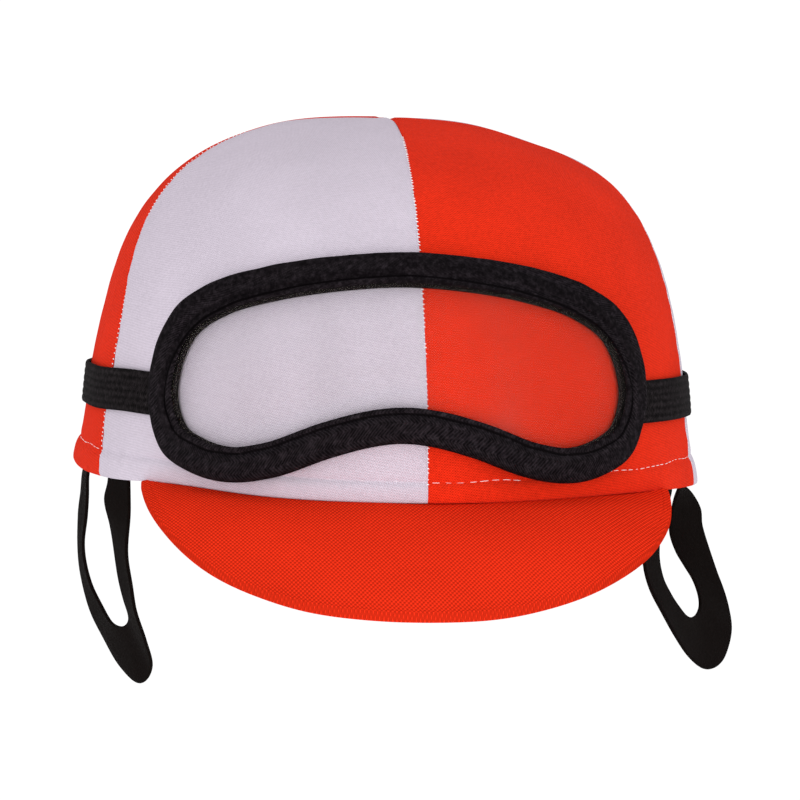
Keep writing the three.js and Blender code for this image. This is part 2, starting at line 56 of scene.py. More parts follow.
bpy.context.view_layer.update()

# Where the crown's seams run: climb as a share of the way to the top, and azimuths in degrees.
# SEAM_EASE is the share over which a seam turns from one stretch into the next.
SEAM_CLIMBS = [0, 0.13, 0.2, 0.34, 0.52, 1]
SEAM_EASE = 0.1
SEAM_LINES = {
    "front": [3.6, 3.2, 2.9, 2.5, 2.1, 0.8],
    "left": [-71, -67, -67, -71, -78, -86],
    "right": [78, 75, 75, 78, 83, 90],
    "back": [183, 183, 183, 182, 181, 180],
}

# The crown's quarters: their seams, their cloth, and the flat size that each is cut to.
QUARTERS = [
    {"name": "front_left", "start": "left", "end": "front", "cloth": "white",
     "flat": (0.128, 0.186), "area": 0.0158},
    {"name": "front_right", "start": "front", "end": "right", "cloth": "red",
     "flat": (0.134, 0.186), "area": 0.0168},
    {"name": "back_right", "start": "right", "end": "back", "cloth": "white",
     "flat": (0.172, 0.176), "area": 0.0215},
    {"name": "back_left", "start": "back", "end": "left", "cloth": "red",
     "flat": (0.180, 0.176), "area": 0.0225},
]

# The cloth's way through the hem, from the raw edge inside down round the fold and up the outside.
# up is a share of the hem's depth and off the face's distance from the crown's surface in mm.
HEM_WAY = [
    (1.14, -2.4), (1.08, -2.5), (1.0, -2.5), (0.86, -2.45), (0.72, -2.35), (0.58, -2.3),
    (0.44, -2.25), (0.3, -2.2), (0.18, -2.1), (0.09, -1.95), (0.03, -1.7), (0.0, -1.3),
    (-0.01, -0.85), (-0.01, -0.4), (-0.01, 0.0), (0.01, 0.3), (0.06, 0.52), (0.16, 0.68),
    (0.34, 0.78), (0.44, 0.8), (0.54, 0.76), (0.64, 0.64), (0.72, 0.46), (0.79, 0.22),
    (0.85, -0.06), (0.9, -0.2), (0.95, -0.06), (1.02, 0.06), (1.12, 0.12), (1.25, 0.12),
    (1.4, 0.08), (1.6, 0.03), (1.8, 0.0),
]
STITCH_UP = 0.9
HEM_EDGE_UPS = [0, 0.1, 0.45, 0.8, 1, 1.2, 1.8]
HEM_EDGE_SHARES = [1, 0.857, 0.714, 0.571, 0.429, 0.286, 0.143]

# Ripples of the hem: azimuth and spread in degrees, flare and lift as shares of their sizes.
HEM_RIPPLES = [
    (-101, 14, 1.4, 1.6), (-74, 12, -0.1, 0.3), (-46, 17, 0, 0.9), (44, 22, 0, 0.55),
    (87, 15, 0.9, -0.2), (125, 18, 0.3, 0.3), (180, 26, 0.2, 0.2),
]

# Dents and bulges of the crown: azimuth, spread, climb and width in degrees, out as a share.
CROWN_DENTS = [
    (88, 40, 18, 14, -0.5), (88, 40, 46, 12, 0.8), (88, 45, 70, 10, -1),
    (-92, 40, 20, 14, -0.8), (-92, 45, 56, 14, 0.5), (-92, 45, 76, 9, 0.4),
]

# Azimuths of the peak's two corners under the hem, in degrees.
PEAK_CORNERS = (-54, 60)

# Middle line of the goggles' band from the top middle round each side to the notch over the nose:
# along as a share of half its width, then the left and the right side as shares of half its height.
BAND_LINE = [
    (0, 1, 1), (0.25, 0.955, 0.951), (0.5, 0.85, 0.833), (0.72, 0.695, 0.657),
    (0.89, 0.443, 0.393), (0.98, 0.06, 0.02), (1, -0.36, -0.36), (0.93, -0.755, -0.755),
    (0.8, -0.93, -0.93), (0.65, -1, -1), (0.48, -0.93, -0.93), (0.28, -0.725, -0.725),
    (0.12, -0.6, -0.6), (0, -0.563, -0.563),
]

# Inner and outer edge of each ear loop from its front end round to its back end: turn as a share
# of half the edge's width, then for each edge how far down, as a share of the loop's length or, at
# -1, of the tuck in the hem, and how far towards +X, as a share of the sway.
LEFT_LOOP_EDGES = [
    (-1, -1, 0, -1, 0), (-1, 0.02, -0.06, 0.02, 0.02), (-1, 0.1, -0.15, 0.11, 0.01),
    (-1, 0.22, 0.02, 0.24, -0.01), (-1, 0.36, 0.18, 0.36, 0.01), (-1, 0.48, 0.33, 0.48, 0.1),
    (-0.96, 0.57, 0.48, 0.59, 0.28), (-0.77, 0.65, 0.69, 0.75, 0.82),
    (-0.42, 0.7, 0.79, 0.89, 1.37), (0, 0.73, 0.74, 1, 1.39), (0.42, 0.72, 0.59, 0.95, 1.04),
    (0.77, 0.65, 0.4, 0.83, 0.66), (0.96, 0.56, 0.15, 0.7, 0.24), (1, 0.45, -0.03, 0.53, -0.05),
    (1, 0.35, -0.1, 0.37, -0.17), (1, 0.23, -0.04, 0.25, -0.15), (1, 0.12, 0.01, 0.14, -0.08),
    (1, 0.02, 0.02, 0.02, -0.05), (1, -1, 0, -1, 0),
]
RIGHT_LOOP_EDGES = [
    (-1, -1, 0, -1, 0), (-1, 0.02, -0.05, 0.02, -0.07), (-1, 0.12, -0.21, 0.12, -0.27),
    (-1, 0.23, -0.31, 0.23, -0.38), (-1, 0.38, -0.34, 0.39, -0.34),
    (-1, 0.49, -0.21, 0.51, -0.15), (-0.96, 0.57, 0.01, 0.64, 0.17),
    (-0.77, 0.64, 0.19, 0.78, 0.42), (-0.42, 0.7, 0.3, 0.91, 0.61), (0, 0.72, 0.4, 1, 0.96),
    (0.42, 0.71, 0.53, 0.96, 1.41), (0.77, 0.67, 0.6, 0.83, 1.76), (0.96, 0.61, 0.56, 0.72, 1.82),
    (1, 0.54, 0.41, 0.63, 1.7), (1, 0.47, 0.17, 0.52, 1.45), (1, 0.39, -0.1, 0.39, 1.19),
    (1, 0.29, -0.3, 0.27, 1), (1, 0.2, -0.3, 0.18, 0.94), (1, 0.1, -0.19, 0.1, 0.66),
    (1, 0.05, -0.08, 0.055, 0.36), (1, 0.015, -0.01, 0.015, 0.02), (1, -1, 0, -1, 0),
]

# Small soft forms of the cloth: a seed, the shortest and longest wave in mm, and a height in mm.
SOFT_FORMS = {
    "crown_waves": (11, 35, 80, 0.28),
    "crown_creases": (12, 9, 20, 0.035),
    "hem_puckers": (13, 3.5, 8, 0.13),
    "hem_line": (14, 16, 34, 0.35),
    "seam_gathers": (0, 3, 7, 0.10),
    "peak_waves": (31, 25, 60, 0.12),
    "band_waves": (41, 9, 26, 0.10),
    "band_lumps": (42, 3, 6, 0.04),
    "lens_buckle": (51, 22, 50, 0.10),
    "strap_wander": (61, 30, 60, 0.25),
    "strap_lift": (62, 18, 40, 0.10),
    "loop_ripple": (71, 14, 30, 0.15),
}

# Stitches in mm: length, width, height, and the pitch along their line.
STITCHES = {
    "hem_red": (2.7, 0.19, 0.20, 3.4),
    "hem_white": (0.9, 0.22, 0.18, 2.3),
    "seam": (0.78, 0.38, 0.26, 1.45),
}

# Black cloths: the pitch in mm of the ribs and of their chevrons, the depth of the weave in mm, and
# the darkest and lightest share of the base colour.
BLACK_CLOTHS = {
    "binding": ("black_binding_knit", 1.0, 3.4, 0.12, 0.3, 2.8),
    "elastic": ("black_ribbed_elastic", 1.1, 2.0, 0.08, 0.3, 2.8),
    "loop": ("black_soft_knit", 0.9, 2.0, 0.03, 0.8, 1.3),
}

# The strap's ribs, and in mm its wall between them, their depth and how far its edges thin.
STRAP_RIBS = 6
STRAP_WALL, STRAP_RIB_DEPTH, STRAP_EDGE_THIN = 0.7, 0.16, 0.15

# The ear loops' rounded edges in mm, and the steps from each row of their tables to the next.
LOOP_ROUNDING = 0.3
LOOP_STEPS = 8

# The crown's mesh: rows over the hem, and in mm the spacing of its columns, where they lie beside
# a seam, and how close points are merged.
CROWN_ROWS = 104
CROWN_SPACING = 1.3
BESIDE_SEAM = [0, 0.12, 0.3, 0.55, 0.9, 1.4, 2.0]
CROWN_MERGE = 0.02

# The share of the cloth's relief that the hem has on its inside.
INSIDE_RELIEF = 0.3

# How far the puckers, the gathers and the roll reach from their stitches, in mm.
PUCKER_REACH, GATHER_REACH, ROLL_REACH = 3.4, 2.6, 0.55

# The seams' stitches: how far they sink and lie to the red side in mm, how ragged and how aslant
# they are, and the climb at which they end.
SEAM_STITCH_SINK, SEAM_STITCH_ASIDE = 0.14, 0.02
SEAM_STITCH_RAGGED, SEAM_STITCH_SLANT = 0.2, 0.3
SEAM_STITCH_END = QUARTER - 0.36

# How far the hem's stitches sink into their cloth in mm, and how ragged they are.
HEM_STITCH_SINK = {"red": 0.12, "white": 0.26}
HEM_STITCH_RAGGED = 0.04

# The peak in mm: its room under the hem, what stays level beyond its tuck, how far its corners
# rise and how far the left one reaches out.
PEAK_GAP, PEAK_LEVEL, CORNER_LIFT, LEFT_CORNER = 0.12, 1.2, 1.1, 1.4

# The groove and the ridge along the peak's edge: distance from it, spread and height, in mm.
PEAK_EDGE = ((2.4, 0.55, -0.10), (0.6, 1.2, 0.08))

# How square the peak's outline is; 2 is an ellipse.
PEAK_SQUARENESS = 2.3

# The goggles: their middle's azimuth and their lean in degrees, how far they stand off the hem in
# mm, the play round the lens in mm, and the stitched groove's distance from the inner edge in mm.
GOGGLE_AZIMUTH, GOGGLE_LEAN = -1, 0.8
OVER_HEM, LENS_PLAY, GROOVE_INSET = 0.9, 0.3, 2.1

# Depth of the turned hem inside the crown, in mm.
HEM_INSIDE = 3

# Satins: the depth of the knit in mm, and the darkest and lightest share of the base colour.
SATINS = {"white": (0.04, 0.78, 1.20), "red": (0.05, 0.58, 1.44)}

# The knit's courses and wales and the peak's crossing threads: slope, and pitch in mm.
COURSES = (0.16, 0.78)
WALES = (-0.12, 0.76)
THREADS = ((2.7, 2.8), (-2.3, 2.8))

# Scales of the noise in the materials, in waves for each metre.
ROW_SWAY, SATIN_CLOUDS, SATIN_GRAIN = 60, 34, 1100
TWILL_CLOUDS, TWILL_GRAIN = 28, 1200
BLACK_GRAIN_AND_GLINTS, THREAD_GRAIN = 750, 2600
LENS_HAZE, LENS_REFLECTION_STREAKS = 30, 50

# How far the rows of the knit sway, the depth of the twill and of the thread's twist, and half the
# width of the painted shade in the band's stitched groove, in mm.
SWAY_REACH, TWILL_DEPTH, THREAD_DEPTH, GROOVE_SHADE_HALF = 1.2, 0.07, 0.05, 0.35


def size(name, description, default):
    return FloatProperty(name=name, description=description, default=default,
                         unit="LENGTH", subtype="DISTANCE", precision=5)


def colour(name, description, default):
    return FloatVectorProperty(name=name, description=description, default=default, size=3,
                               min=0, max=1, subtype="COLOR")


class CrownSizes(bpy.types.PropertyGroup):
    width: size("Width", "Width of the crown at the hem", 0.181)
    front: size("Front", "From the middle of the opening to the front", 0.107)
    back: size("Back", "From the middle of the opening to the back", 0.109)
    height: size("Height", "Height of the crown over the hem's level", 0.1068)
    meet_back: size("Seams' meeting", "How far behind the middle the seams meet", 0.020)
    front_fullness: FloatProperty(name="Front fullness", description="How square the front is",
                                  default=2.5)
    side_fullness: FloatProperty(name="Side fullness", description="How square the sides are",
                                 default=2.74)
    back_fullness: FloatProperty(name="Back fullness", description="How square the back is",
                                 default=2.8)
    dent: size("Dents", "Depth of the crown's soft dents", 0.0016)
    cloth: size("Cloth", "Thickness of the crown's cloth", 0.0011)
    seam_gap: size("Seam gap", "Room between two quarters in their seam", 0.00003)
    seam_sink: size("Seam sink", "How deep the cloth rolls into a seam", 0.0003)
    hem_depth: size("Hem", "Depth of the turned hem at the front and back", 0.0065)
    hem_side_depth: size("Hem at the sides", "Depth of the turned hem at the sides", 0.0096)
    hem_flare: size("Hem flare", "How far the hem's ripples stand out", 0.0034)
    hem_lift: size("Hem lift", "How far the hem's edge rises and falls", 0.0022)
    flare_height: size("Flare height", "Height over which the ripples die away", 0.024)


class PeakSizes(bpy.types.PropertyGroup):
    reach: size("Reach", "How far the peak stands out from the crown", 0.060)
    half_width: size("Half width", "Half the peak's width", 0.0752)
    aside: size("Aside", "How far the peak's middle lies to one side", 0.0032)
    corner_back: size("Corners back", "How far back under the hem the corners lie", 0.006)
    skew: size("Skew", "How far the front edge leans to the other side", 0.005)
    drop: size("Drop", "How far the front edge hangs below the hem", 0.0244)
    arch: size("Arch", "Rise of the peak's middle over a straight slope", 0.0016)
    thickness: size("Thickness", "Thickness of the covered board", 0.003)
    tuck: size("Tuck", "How far the peak goes in under the hem", 0.005)


class GoggleSizes(bpy.types.PropertyGroup):
    width: size("Width", "Width of the goggles round the crown", 0.1582)
    height: size("Height", "Height of the goggles", 0.0626)
    middle: size("Middle height", "Height of their middle over the hem's level", 0.03585)
    band: size("Band", "Width of the bound band", 0.0097)
    depth: size("Depth", "Depth of the band", 0.0044)
    lens: size("Lens", "Thickness of the lens", 0.0008)
    seat: size("Seat", "Depth at which the lens sits in the band", 0.0025)
    tuck: size("Lens tuck", "How far the lens goes into the band", 0.003)
    room: size("Room", "Room between the crown and what is worn on it", 0.0006)


class StrapSizes(bpy.types.PropertyGroup):
    width: size("Width", "Width of the elastic", 0.012)
    thickness: size("Thickness", "Thickness of the elastic", 0.0011)
    room: size("Room", "Room between the crown and the elastic", 0.00035)
    height: size("Height", "Height of its middle line over the hem's level", 0.0266)
    sewn_in: size("Sewn in", "How far each end goes into the goggles' band", 0.0012)


class LoopSizes(bpy.types.PropertyGroup):
    thickness: size("Thickness", "Thickness of the cut piece", 0.001)
    tuck: size("Tuck", "How far the ends go up inside the hem", 0.006)
    room: size("Room", "Room between the hem and the loops' ends", 0.0005)
    sway: size("Sway", "How far the loops hang sideways", 0.010)
    hole: FloatProperty(name="Hole", description="Width of the hole as a share of the loop's",
                        default=0.5)
    left_width: size("Left width", "Width of the left loop", 0.066)
    left_length: size("Left length", "How far the left loop hangs", 0.062)
    left_ahead: size("Left ahead", "How far its middle lies ahead of the opening's", 0.0165)
    right_width: size("Right width", "Width of the right loop", 0.061)
    right_length: size("Right length", "How far the right loop hangs", 0.0555)
    right_ahead: size("Right ahead", "How far its middle lies ahead of the opening's", 0.0195)


class CapColours(bpy.types.PropertyGroup):
    white: colour("White", "The white quarters", (0.496, 0.442, 0.512))
    red: colour("Red", "The red quarters", (0.575, 0.0210, 0.0058))
    # Painted light: the peak's base colour is lighter than the red quarters' to stand in for light
    # on its top, which the crown shades.
    peak: colour("Peak", "The peak's cover", (0.675, 0.0255, 0.0074))
    binding: colour("Binding", "The goggles' band", (0.0105, 0.0084, 0.0100))
    elastic: colour("Elastic", "The strap", (0.0088, 0.0072, 0.0078))
    loop: colour("Ear loops", "The ear loops", (0.0045, 0.0030, 0.0027))
    thread: colour("Thread", "The white sewing thread", (0.86, 0.83, 0.84))
    lens: colour("Lens", "The lens's plastic", (0.10, 0.09, 0.07))


def sizes(kind):
    return getattr(bpy.context.scene, "jockey_cap_" + kind)


def mix(start, end, share):
    return start + (end - start) * share


# The crown's surface

def crown_fullness(azimuth):
    crown = sizes("crown")
    end = np.where(np.cos(azimuth) > 0, crown.front_fullness, crown.back_fullness)
    return mix(end, crown.side_fullness, np.sin(azimuth) ** 2)


def turned_hump(angle, middle, spread):
    """1 at a middle angle, and dying away over a spread, both in degrees."""
    turn = np.mod(angle - math.radians(middle) + math.pi, FULL_TURN) - math.pi
    return np.exp(-(turn / math.radians(spread)) ** 2)


def crown_point(azimuth, climb):
    crown = sizes("crown")
    power = 2 / crown_fullness(azimuth)
    reach = np.maximum(np.cos(climb), 0) ** power
    length = np.where(np.cos(azimuth) > 0, crown.front, crown.back)
    dent = sum(
        out * turned_hump(azimuth, middle, spread) * turned_hump(climb, up, width)
        for middle, spread, up, width, out in CROWN_DENTS
    ) * crown.dent
    away = dent * np.cos(climb)
    return np.stack([
        (crown.width / 2 * reach + away) * np.sin(azimuth),
        mix(crown.meet_back, -length * np.cos(azimuth), reach) - away * np.cos(azimuth),
        crown.height * np.maximum(np.sin(climb), 0) ** power + dent * np.sin(climb),
    ], axis=-1)


def climb_at(azimuth, height):
    share = np.clip(height / sizes("crown").height, 0, 1)
    return np.arcsin(share ** (crown_fullness(azimuth) / 2))


def crown_normal(azimuth, climb):
    step = 0.01
    middle = np.clip(climb, 3 * step, QUARTER - 3 * step)
    sideways = crown_point(azimuth + step, middle) - crown_point(azimuth - step, middle)
    upwards = crown_point(azimuth, middle + step) - crown_point(azimuth, middle - step)
    return unit(np.cross(sideways, upwards))


def run_lengths(points):
    """How far along a line of points each of them lies."""
    steps = np.linalg.norm(np.diff(points, axis=0), axis=-1)
    return np.concatenate([[0], np.cumsum(steps)])


def values_at(at, total, values):
    """Each column of the values along a line, read at other places along it."""
    return np.stack([np.interp(at, total, column) for column in values.T], axis=-1)


def hump(away, spread):
    """1 in the middle, and dying away over a spread in mm."""
    return np.exp(-(away / (spread * MM)) ** 2)


def unit(vectors):
    return vectors / np.maximum(np.linalg.norm(vectors, axis=-1, keepdims=True), 1e-12)


def off_crown(azimuth, height, off):
    climb = climb_at(azimuth, height)
    point = crown_point(azimuth, climb)
    point[..., 2] = height
    return point + crown_normal(azimuth, climb) * np.asarray(off)[..., None]


def seam_azimuth(seam, climb):
    share = np.asarray(climb) / QUARTER
    beside = [np.interp(share + step, SEAM_CLIMBS, SEAM_LINES[seam])
              for step in np.linspace(-SEAM_EASE, SEAM_EASE, 9)]
    return np.radians(np.mean(beside, axis=0))


def quarter_azimuth(quarter, shares, climb):
    start = seam_azimuth(quarter["start"], climb)
    end = seam_azimuth(quarter["end"], climb)
    return mix(start, end + FULL_TURN * (end < start), shares)


def hem_depth(azimuth):
    crown = sizes("crown")
    return mix(crown.hem_depth, crown.hem_side_depth, np.sin(azimuth) ** 2)


def hem_edge(azimuth):
    return sizes("crown").hem_lift * sum(
        lift * turned_hump(azimuth, middle, spread)
        for middle, spread, _, lift in HEM_RIPPLES)


def flare_out(azimuth, height):
    crown = sizes("crown")
    seat = np.maximum(0, 1 - height / crown.flare_height) ** 2
    return crown.hem_flare * seat * sum(
        flare * turned_hump(azimuth, middle, spread)
        for middle, spread, flare, _ in HEM_RIPPLES)


def soft_form(x, y, name, more_seed=0, count=7):
    """The height of one of the small soft forms at x and y, as a sum of random waves."""
    seed, shortest, longest, height = SOFT_FORMS[name]
    rng = np.random.default_rng(seed + more_seed)
    total = 0
    for _ in range(count):
        angle, phase = rng.uniform(0, FULL_TURN, 2)
        wave = FULL_TURN / rng.uniform(shortest * MM, longest * MM)
        total = total + np.sin(wave * (x * math.cos(angle) + y * math.sin(angle)) + phase)
    return total / math.sqrt(count) * height * MM


# Meshes

def select_only(obj):
    bpy.ops.object.select_all(action="DESELECT")
    obj.select_set(True)
    bpy.context.view_layer.objects.active = obj


def placed_grid(name, columns, rows, place, material, closed=False, merge=1e-6):
    """A grid primitive whose points go where place puts them, with a UV map in metres."""
    bpy.ops.object.select_all(action="DESELECT")
    bpy.ops.mesh.primitive_grid_add(x_subdivisions=columns, y_subdivisions=rows, size=1)
    obj = bpy.context.object
    obj.name = obj.data.name = name
    mesh = obj.data
    flat = np.empty(len(mesh.vertices) * 3, np.float32)
    mesh.vertices.foreach_get("co", flat)
    flat = flat.reshape(-1, 3)
    column = np.rint((flat[:, 0] + 0.5) * columns).astype(int)
    row = np.rint((flat[:, 1] + 0.5) * rows).astype(int)
    points = place()
    mesh.vertices.foreach_set("co", points[row, column].astype(np.float32).ravel())
    write_uvs(mesh, cloth_map(points)[row, column])
    bpy.ops.object.mode_set(mode="EDIT")
    bpy.ops.mesh.select_all(action="SELECT")
    bpy.ops.mesh.remove_doubles(threshold=merge)
    if closed:
        bpy.ops.mesh.select_all(action="DESELECT")
        bpy.ops.mesh.select_non_manifold()
        bpy.ops.mesh.fill_holes(sides=0)
        bpy.ops.mesh.select_all(action="DESELECT")
    bpy.ops.object.mode_set(mode="OBJECT")
    mesh.update()
    mesh.materials.append(material)
    return obj


def write_uvs(mesh, uvs):
    corners = np.empty(len(mesh.loops), np.int32)
    mesh.loops.foreach_get("vertex_index", corners)
    mesh.uv_layers.active.data.foreach_set("uv", uvs[corners].astype(np.float32).ravel())


def cloth_map(points):
    """Lengths along the cloth: across from its middle column, and up from its first row."""
    across = np.linalg.norm(np.diff(points, axis=1), axis=-1)
    across = np.concatenate([np.zeros((len(points), 1)), np.cumsum(across, axis=1)], axis=1)
    across -= across[:, [points.shape[1] // 2]]
    up = np.linalg.norm(np.diff(points, axis=0), axis=-1)
    up = np.concatenate([np.zeros((1, points.shape[1])), np.cumsum(up, axis=0)], axis=0)
    return np.stack([across, up], axis=-1)


def apply_modifier(obj, kind, **values):
    select_only(obj)
    bpy.ops.object.modifier_add(type=kind)
    modifier = obj.modifiers[-1]
    for name, value in values.items():
        setattr(modifier, name, value)
    bpy.ops.object.modifier_apply(modifier=modifier.name)


def thicken(obj, thickness):
    """Gives a sheet its thickness, inwards from the face that shows."""
    apply_modifier(obj, "SOLIDIFY", thickness=thickness, offset=-1, use_even_offset=True)


def smooth(obj, angle=50):
    select_only(obj)
    bpy.ops.object.shade_smooth_by_angle(angle=math.radians(angle))


def recalculate(obj):
    select_only(obj)
    bpy.ops.object.mode_set(mode="EDIT")
    bpy.ops.mesh.select_all(action="SELECT")
    bpy.ops.mesh.normals_make_consistent(inside=False)
    bpy.ops.object.mode_set(mode="OBJECT")


def stitch_shape(kind, segments=6, rings=5):
    """One stitch as a long bead that lies along X."""
    bpy.ops.object.select_all(action="DESELECT")
    bpy.ops.mesh.primitive_uv_sphere_add(segments=segments, ring_count=rings, radius=0.5,
                                         rotation=(0, QUARTER, 0))
    obj = bpy.context.object
    bpy.ops.object.transform_apply(location=False, rotation=True, scale=False)
    points = np.array([vertex.co for vertex in obj.data.vertices])
    points[:, 0] = np.sign(points[:, 0]) * np.abs(2 * points[:, 0]) ** 0.7 / 2
    faces = [list(face.vertices) for face in obj.data.polygons]
    bpy.data.meshes.remove(obj.data)
    return points * np.array(STITCHES[kind][:3]) * MM, faces


def sewn_row(name, kind, origins, alongs, normals):
    """Copies one stitch to every origin, laid along its direction on the cloth."""
    points, faces = stitch_shape(kind)
    alongs = unit(alongs)
    asides = unit(np.cross(normals, alongs))
    normals = np.cross(alongs, asides)
    turns = np.stack([alongs, asides, normals], axis=-1)
    placed = np.einsum("nij,pj->npi", turns, points) + origins[:, None, :]
    count = len(points)
    mesh = bpy.data.meshes.new(name)
    mesh.from_pydata(placed.reshape(-1, 3).tolist(), [],
                     [[index + copy * count for index in face]
                      for copy in range(len(origins)) for face in faces])
    mesh.materials.append(sewing_thread())
    obj = bpy.data.objects.new(name, mesh)
    bpy.context.collection.objects.link(obj)
    select_only(obj)
    bpy.ops.object.shade_smooth()
    return obj


# Materials

class Shader:
    """Builds one procedural material, node by node."""

    def __init__(self, name, base, roughness, **sockets):
        self.material = bpy.data.materials.get(name) or bpy.data.materials.new(name)
        self.material.use_nodes = True
        self.nodes = self.material.node_tree.nodes
        for node in list(self.nodes):
            if node.type not in ("BSDF_PRINCIPLED", "OUTPUT_MATERIAL"):
                self.nodes.remove(node)
        self.links = self.material.node_tree.links
        self.bsdf = self.nodes["Principled BSDF"]
        self.bsdf.inputs["Base Color"].default_value = (*base, 1)
        self.bsdf.inputs["Roughness"].default_value = roughness
        for socket, value in sockets.items():
            self.bsdf.inputs[socket.replace("_", " ")].default_value = value
        self.material.diffuse_color = (*base, 1)

    def node(self, kind, inputs=(), **values):
        node = self.nodes.new(kind)
        for name, value in values.items():
            setattr(node, name, value)
        for socket, value in dict(inputs).items():
            if isinstance(value, bpy.types.NodeSocket):
                self.links.new(value, node.inputs[socket])
            else:
                node.inputs[socket].default_value = value
        return node

    def math(self, operation, *values):
        return self.node("ShaderNodeMath", dict(enumerate(values)),
                         operation=operation).outputs[0]

    def add(self, value, share, rest):
        """A share of a value, added to the rest."""
        return self.math("MULTIPLY_ADD", value, share, rest)

    def cloth_lengths(self):
        """The two lengths along the cloth."""
        place = self.node("ShaderNodeUVMap", uv_map="UVMap").outputs[0]
        parts = self.node("ShaderNodeSeparateXYZ", {0: place})
        return parts.outputs[0], parts.outputs[1]

    def swing(self, length, pitch, shift=0.0):
        """A wave between -1 and 1 that comes back after each pitch."""
        turn = self.add(length, FULL_TURN / pitch, shift)
        return self.math("SINE", turn)

    def threads(self, length, beside, slope, pitch):
        """Threads at a pitch in mm along a length, aslant by a slope of the length beside it."""
        return self.swing(self.add(beside, slope, length), pitch * MM)

    def noise(self, scale, detail, roughness=0.5, place=None):
        return self.node("ShaderNodeTexNoise", {
            "Vector": self.object_place() if place is None else place,
            "Scale": scale, "Detail": detail, "Roughness": roughness,
        }).outputs["Fac"]

    def object_place(self):
        return self.node("ShaderNodeTexCoord").outputs["Object"]

    def tint(self, base, amount, low, high):
        """The base colour between a darker and a lighter form of it."""
        node = self.node("ShaderNodeMix", data_type="RGBA")
        self.links.new(amount, node.inputs[0])
        node.inputs[6].default_value = (*[c * low for c in base], 1)
        node.inputs[7].default_value = (*[min(c * high, 1) for c in base], 1)
        self.links.new(node.outputs[2], self.bsdf.inputs["Base Color"])

    def bump(self, height, distance, strength=1.0):
        node = self.node("ShaderNodeBump", {
            "Height": height, "Distance": distance, "Strength": strength,
        })
        self.links.new(node.outputs[0], self.bsdf.inputs["Normal"])


def knit_satin(kind):
    """Satin knit: small stitches in staggered rows, a little cloudy."""
    base = getattr(sizes("colours"), kind)
    depth, low, high = SATINS[kind]
    shader = Shader(kind + "_knit_satin", base, 0.6, Specular_IOR_Level=0.0, Sheen_Weight=0.02)
    across, up = shader.cloth_lengths()
    sway = shader.noise(ROW_SWAY, 2)
    up = shader.add(sway, SWAY_REACH * MM, up)
    courses = shader.threads(up, across, *COURSES)
    wales = shader.threads(across, up, *WALES)
    stitches = shader.math("MULTIPLY", courses, wales)
    weave = shader.add(courses, 0.35, stitches)
    cloud = shader.noise(SATIN_CLOUDS, 3)
    grain = shader.noise(SATIN_GRAIN, 2)
    # The stitches are painted lighter where they stand up and darker in the grooves between them:
    # partly the knit's pattern, partly painted shade.
    amount = shader.add(weave, 0.36, shader.math("MULTIPLY", cloud, 0.4))
    shader.tint(base, shader.add(grain, 0.6, amount), low, high)
    shader.bump(shader.add(grain, 0.3, weave), depth * MM)
    return shader.material


def peak_twill():
    """Stiff woven cover whose threads cross in small diamonds, with painted shade on its upright
    rim.
    """
    base = sizes("colours").peak
    shader = Shader("peak_red_twill", base, 0.6, Specular_IOR_Level=0.0)
    parts = shader.node("ShaderNodeSeparateXYZ", {0: shader.object_place()})
    across = parts.outputs[0]
    ahead = shader.math("ADD", parts.outputs[2], parts.outputs[1])
    first, second = (shader.threads(ahead, across, *way) for way in THREADS)
    weave = shader.math("ADD", first, second)
    cloud = shader.noise(TWILL_CLOUDS, 3)
    grain = shader.noise(TWILL_GRAIN, 2)
    # The threads are painted lighter where they stand up and darker where they sink: partly the
    # weave's pattern, partly painted shade.
    amount = shader.add(weave, 0.36, shader.math("MULTIPLY", cloud, 0.5))
    amount = shader.add(grain, 0.5, amount)
    # Painted shade: the cover is darker where it stands upright, on the rim that faces the lamps.
    turned = shader.node("ShaderNodeAttribute", attribute_name="turned").outputs["Fac"]
    amount = shader.add(turned, -0.7, amount)
    shader.tint(base, amount, 0.66, 1.34)
    shader.bump(weave, TWILL_DEPTH * MM)
    return shader.material


def black_cloth(kind, ridges=0.0, groove=0.0):
    """Black knit or braid, with painted glints on its fibres and painted highlight and shade on its
    ribs; ridges is the pitch of its lengthwise ribs, where it has them, painted lighter on their
    tops and darker between them, and groove is how far up the cloth a stitched groove runs, where
    it has one, with painted shade in it."""
    base = getattr(sizes("colours"), kind)
    name, rib_pitch, chevron_pitch, depth, low, high = BLACK_CLOTHS[kind]
    shader = Shader(name, base, 0.6, Specular_IOR_Level=0.004)
    across, up = shader.cloth_lengths()
    slant = shader.math("PINGPONG", up, chevron_pitch * MM)
    ribs = shader.swing(shader.add(slant, 0.9, across), rib_pitch * MM)
    # Noise specks, cubed: fibre grain in the bump, and in the colour painted glints of light on the
    # fibres.
    grain_and_glint_specks = shader.noise(BLACK_GRAIN_AND_GLINTS, 2, roughness=0.7)
    grain = shader.math("POWER", grain_and_glint_specks, 3)
    weave = shader.add(grain, 2.0, ribs)
    # The chevron ribs are painted lighter where they stand up and darker between them: partly their
    # pattern, partly painted highlight and shade.
    amount = shader.add(ribs, 0.16, shader.math("MULTIPLY", grain, 2.2))
    if ridges:
        # Painted highlight on the tops of the strap's lengthwise ribs and painted shade between
        # them.
        ridge = shader.swing(up, ridges, -QUARTER)
        amount = shader.add(ridge, 0.12, amount)
    if groove:
        # Painted shade in the stitched groove: a darker strip along it.
        beside = shader.math("ABSOLUTE", shader.math("SUBTRACT", up, groove))
        inside = shader.math("LESS_THAN", beside, GROOVE_SHADE_HALF * MM)
        amount = shader.add(inside, -0.6, amount)
    shader.tint(base, amount, low, high)
    shader.bump(weave, depth * MM)
    return shader.material


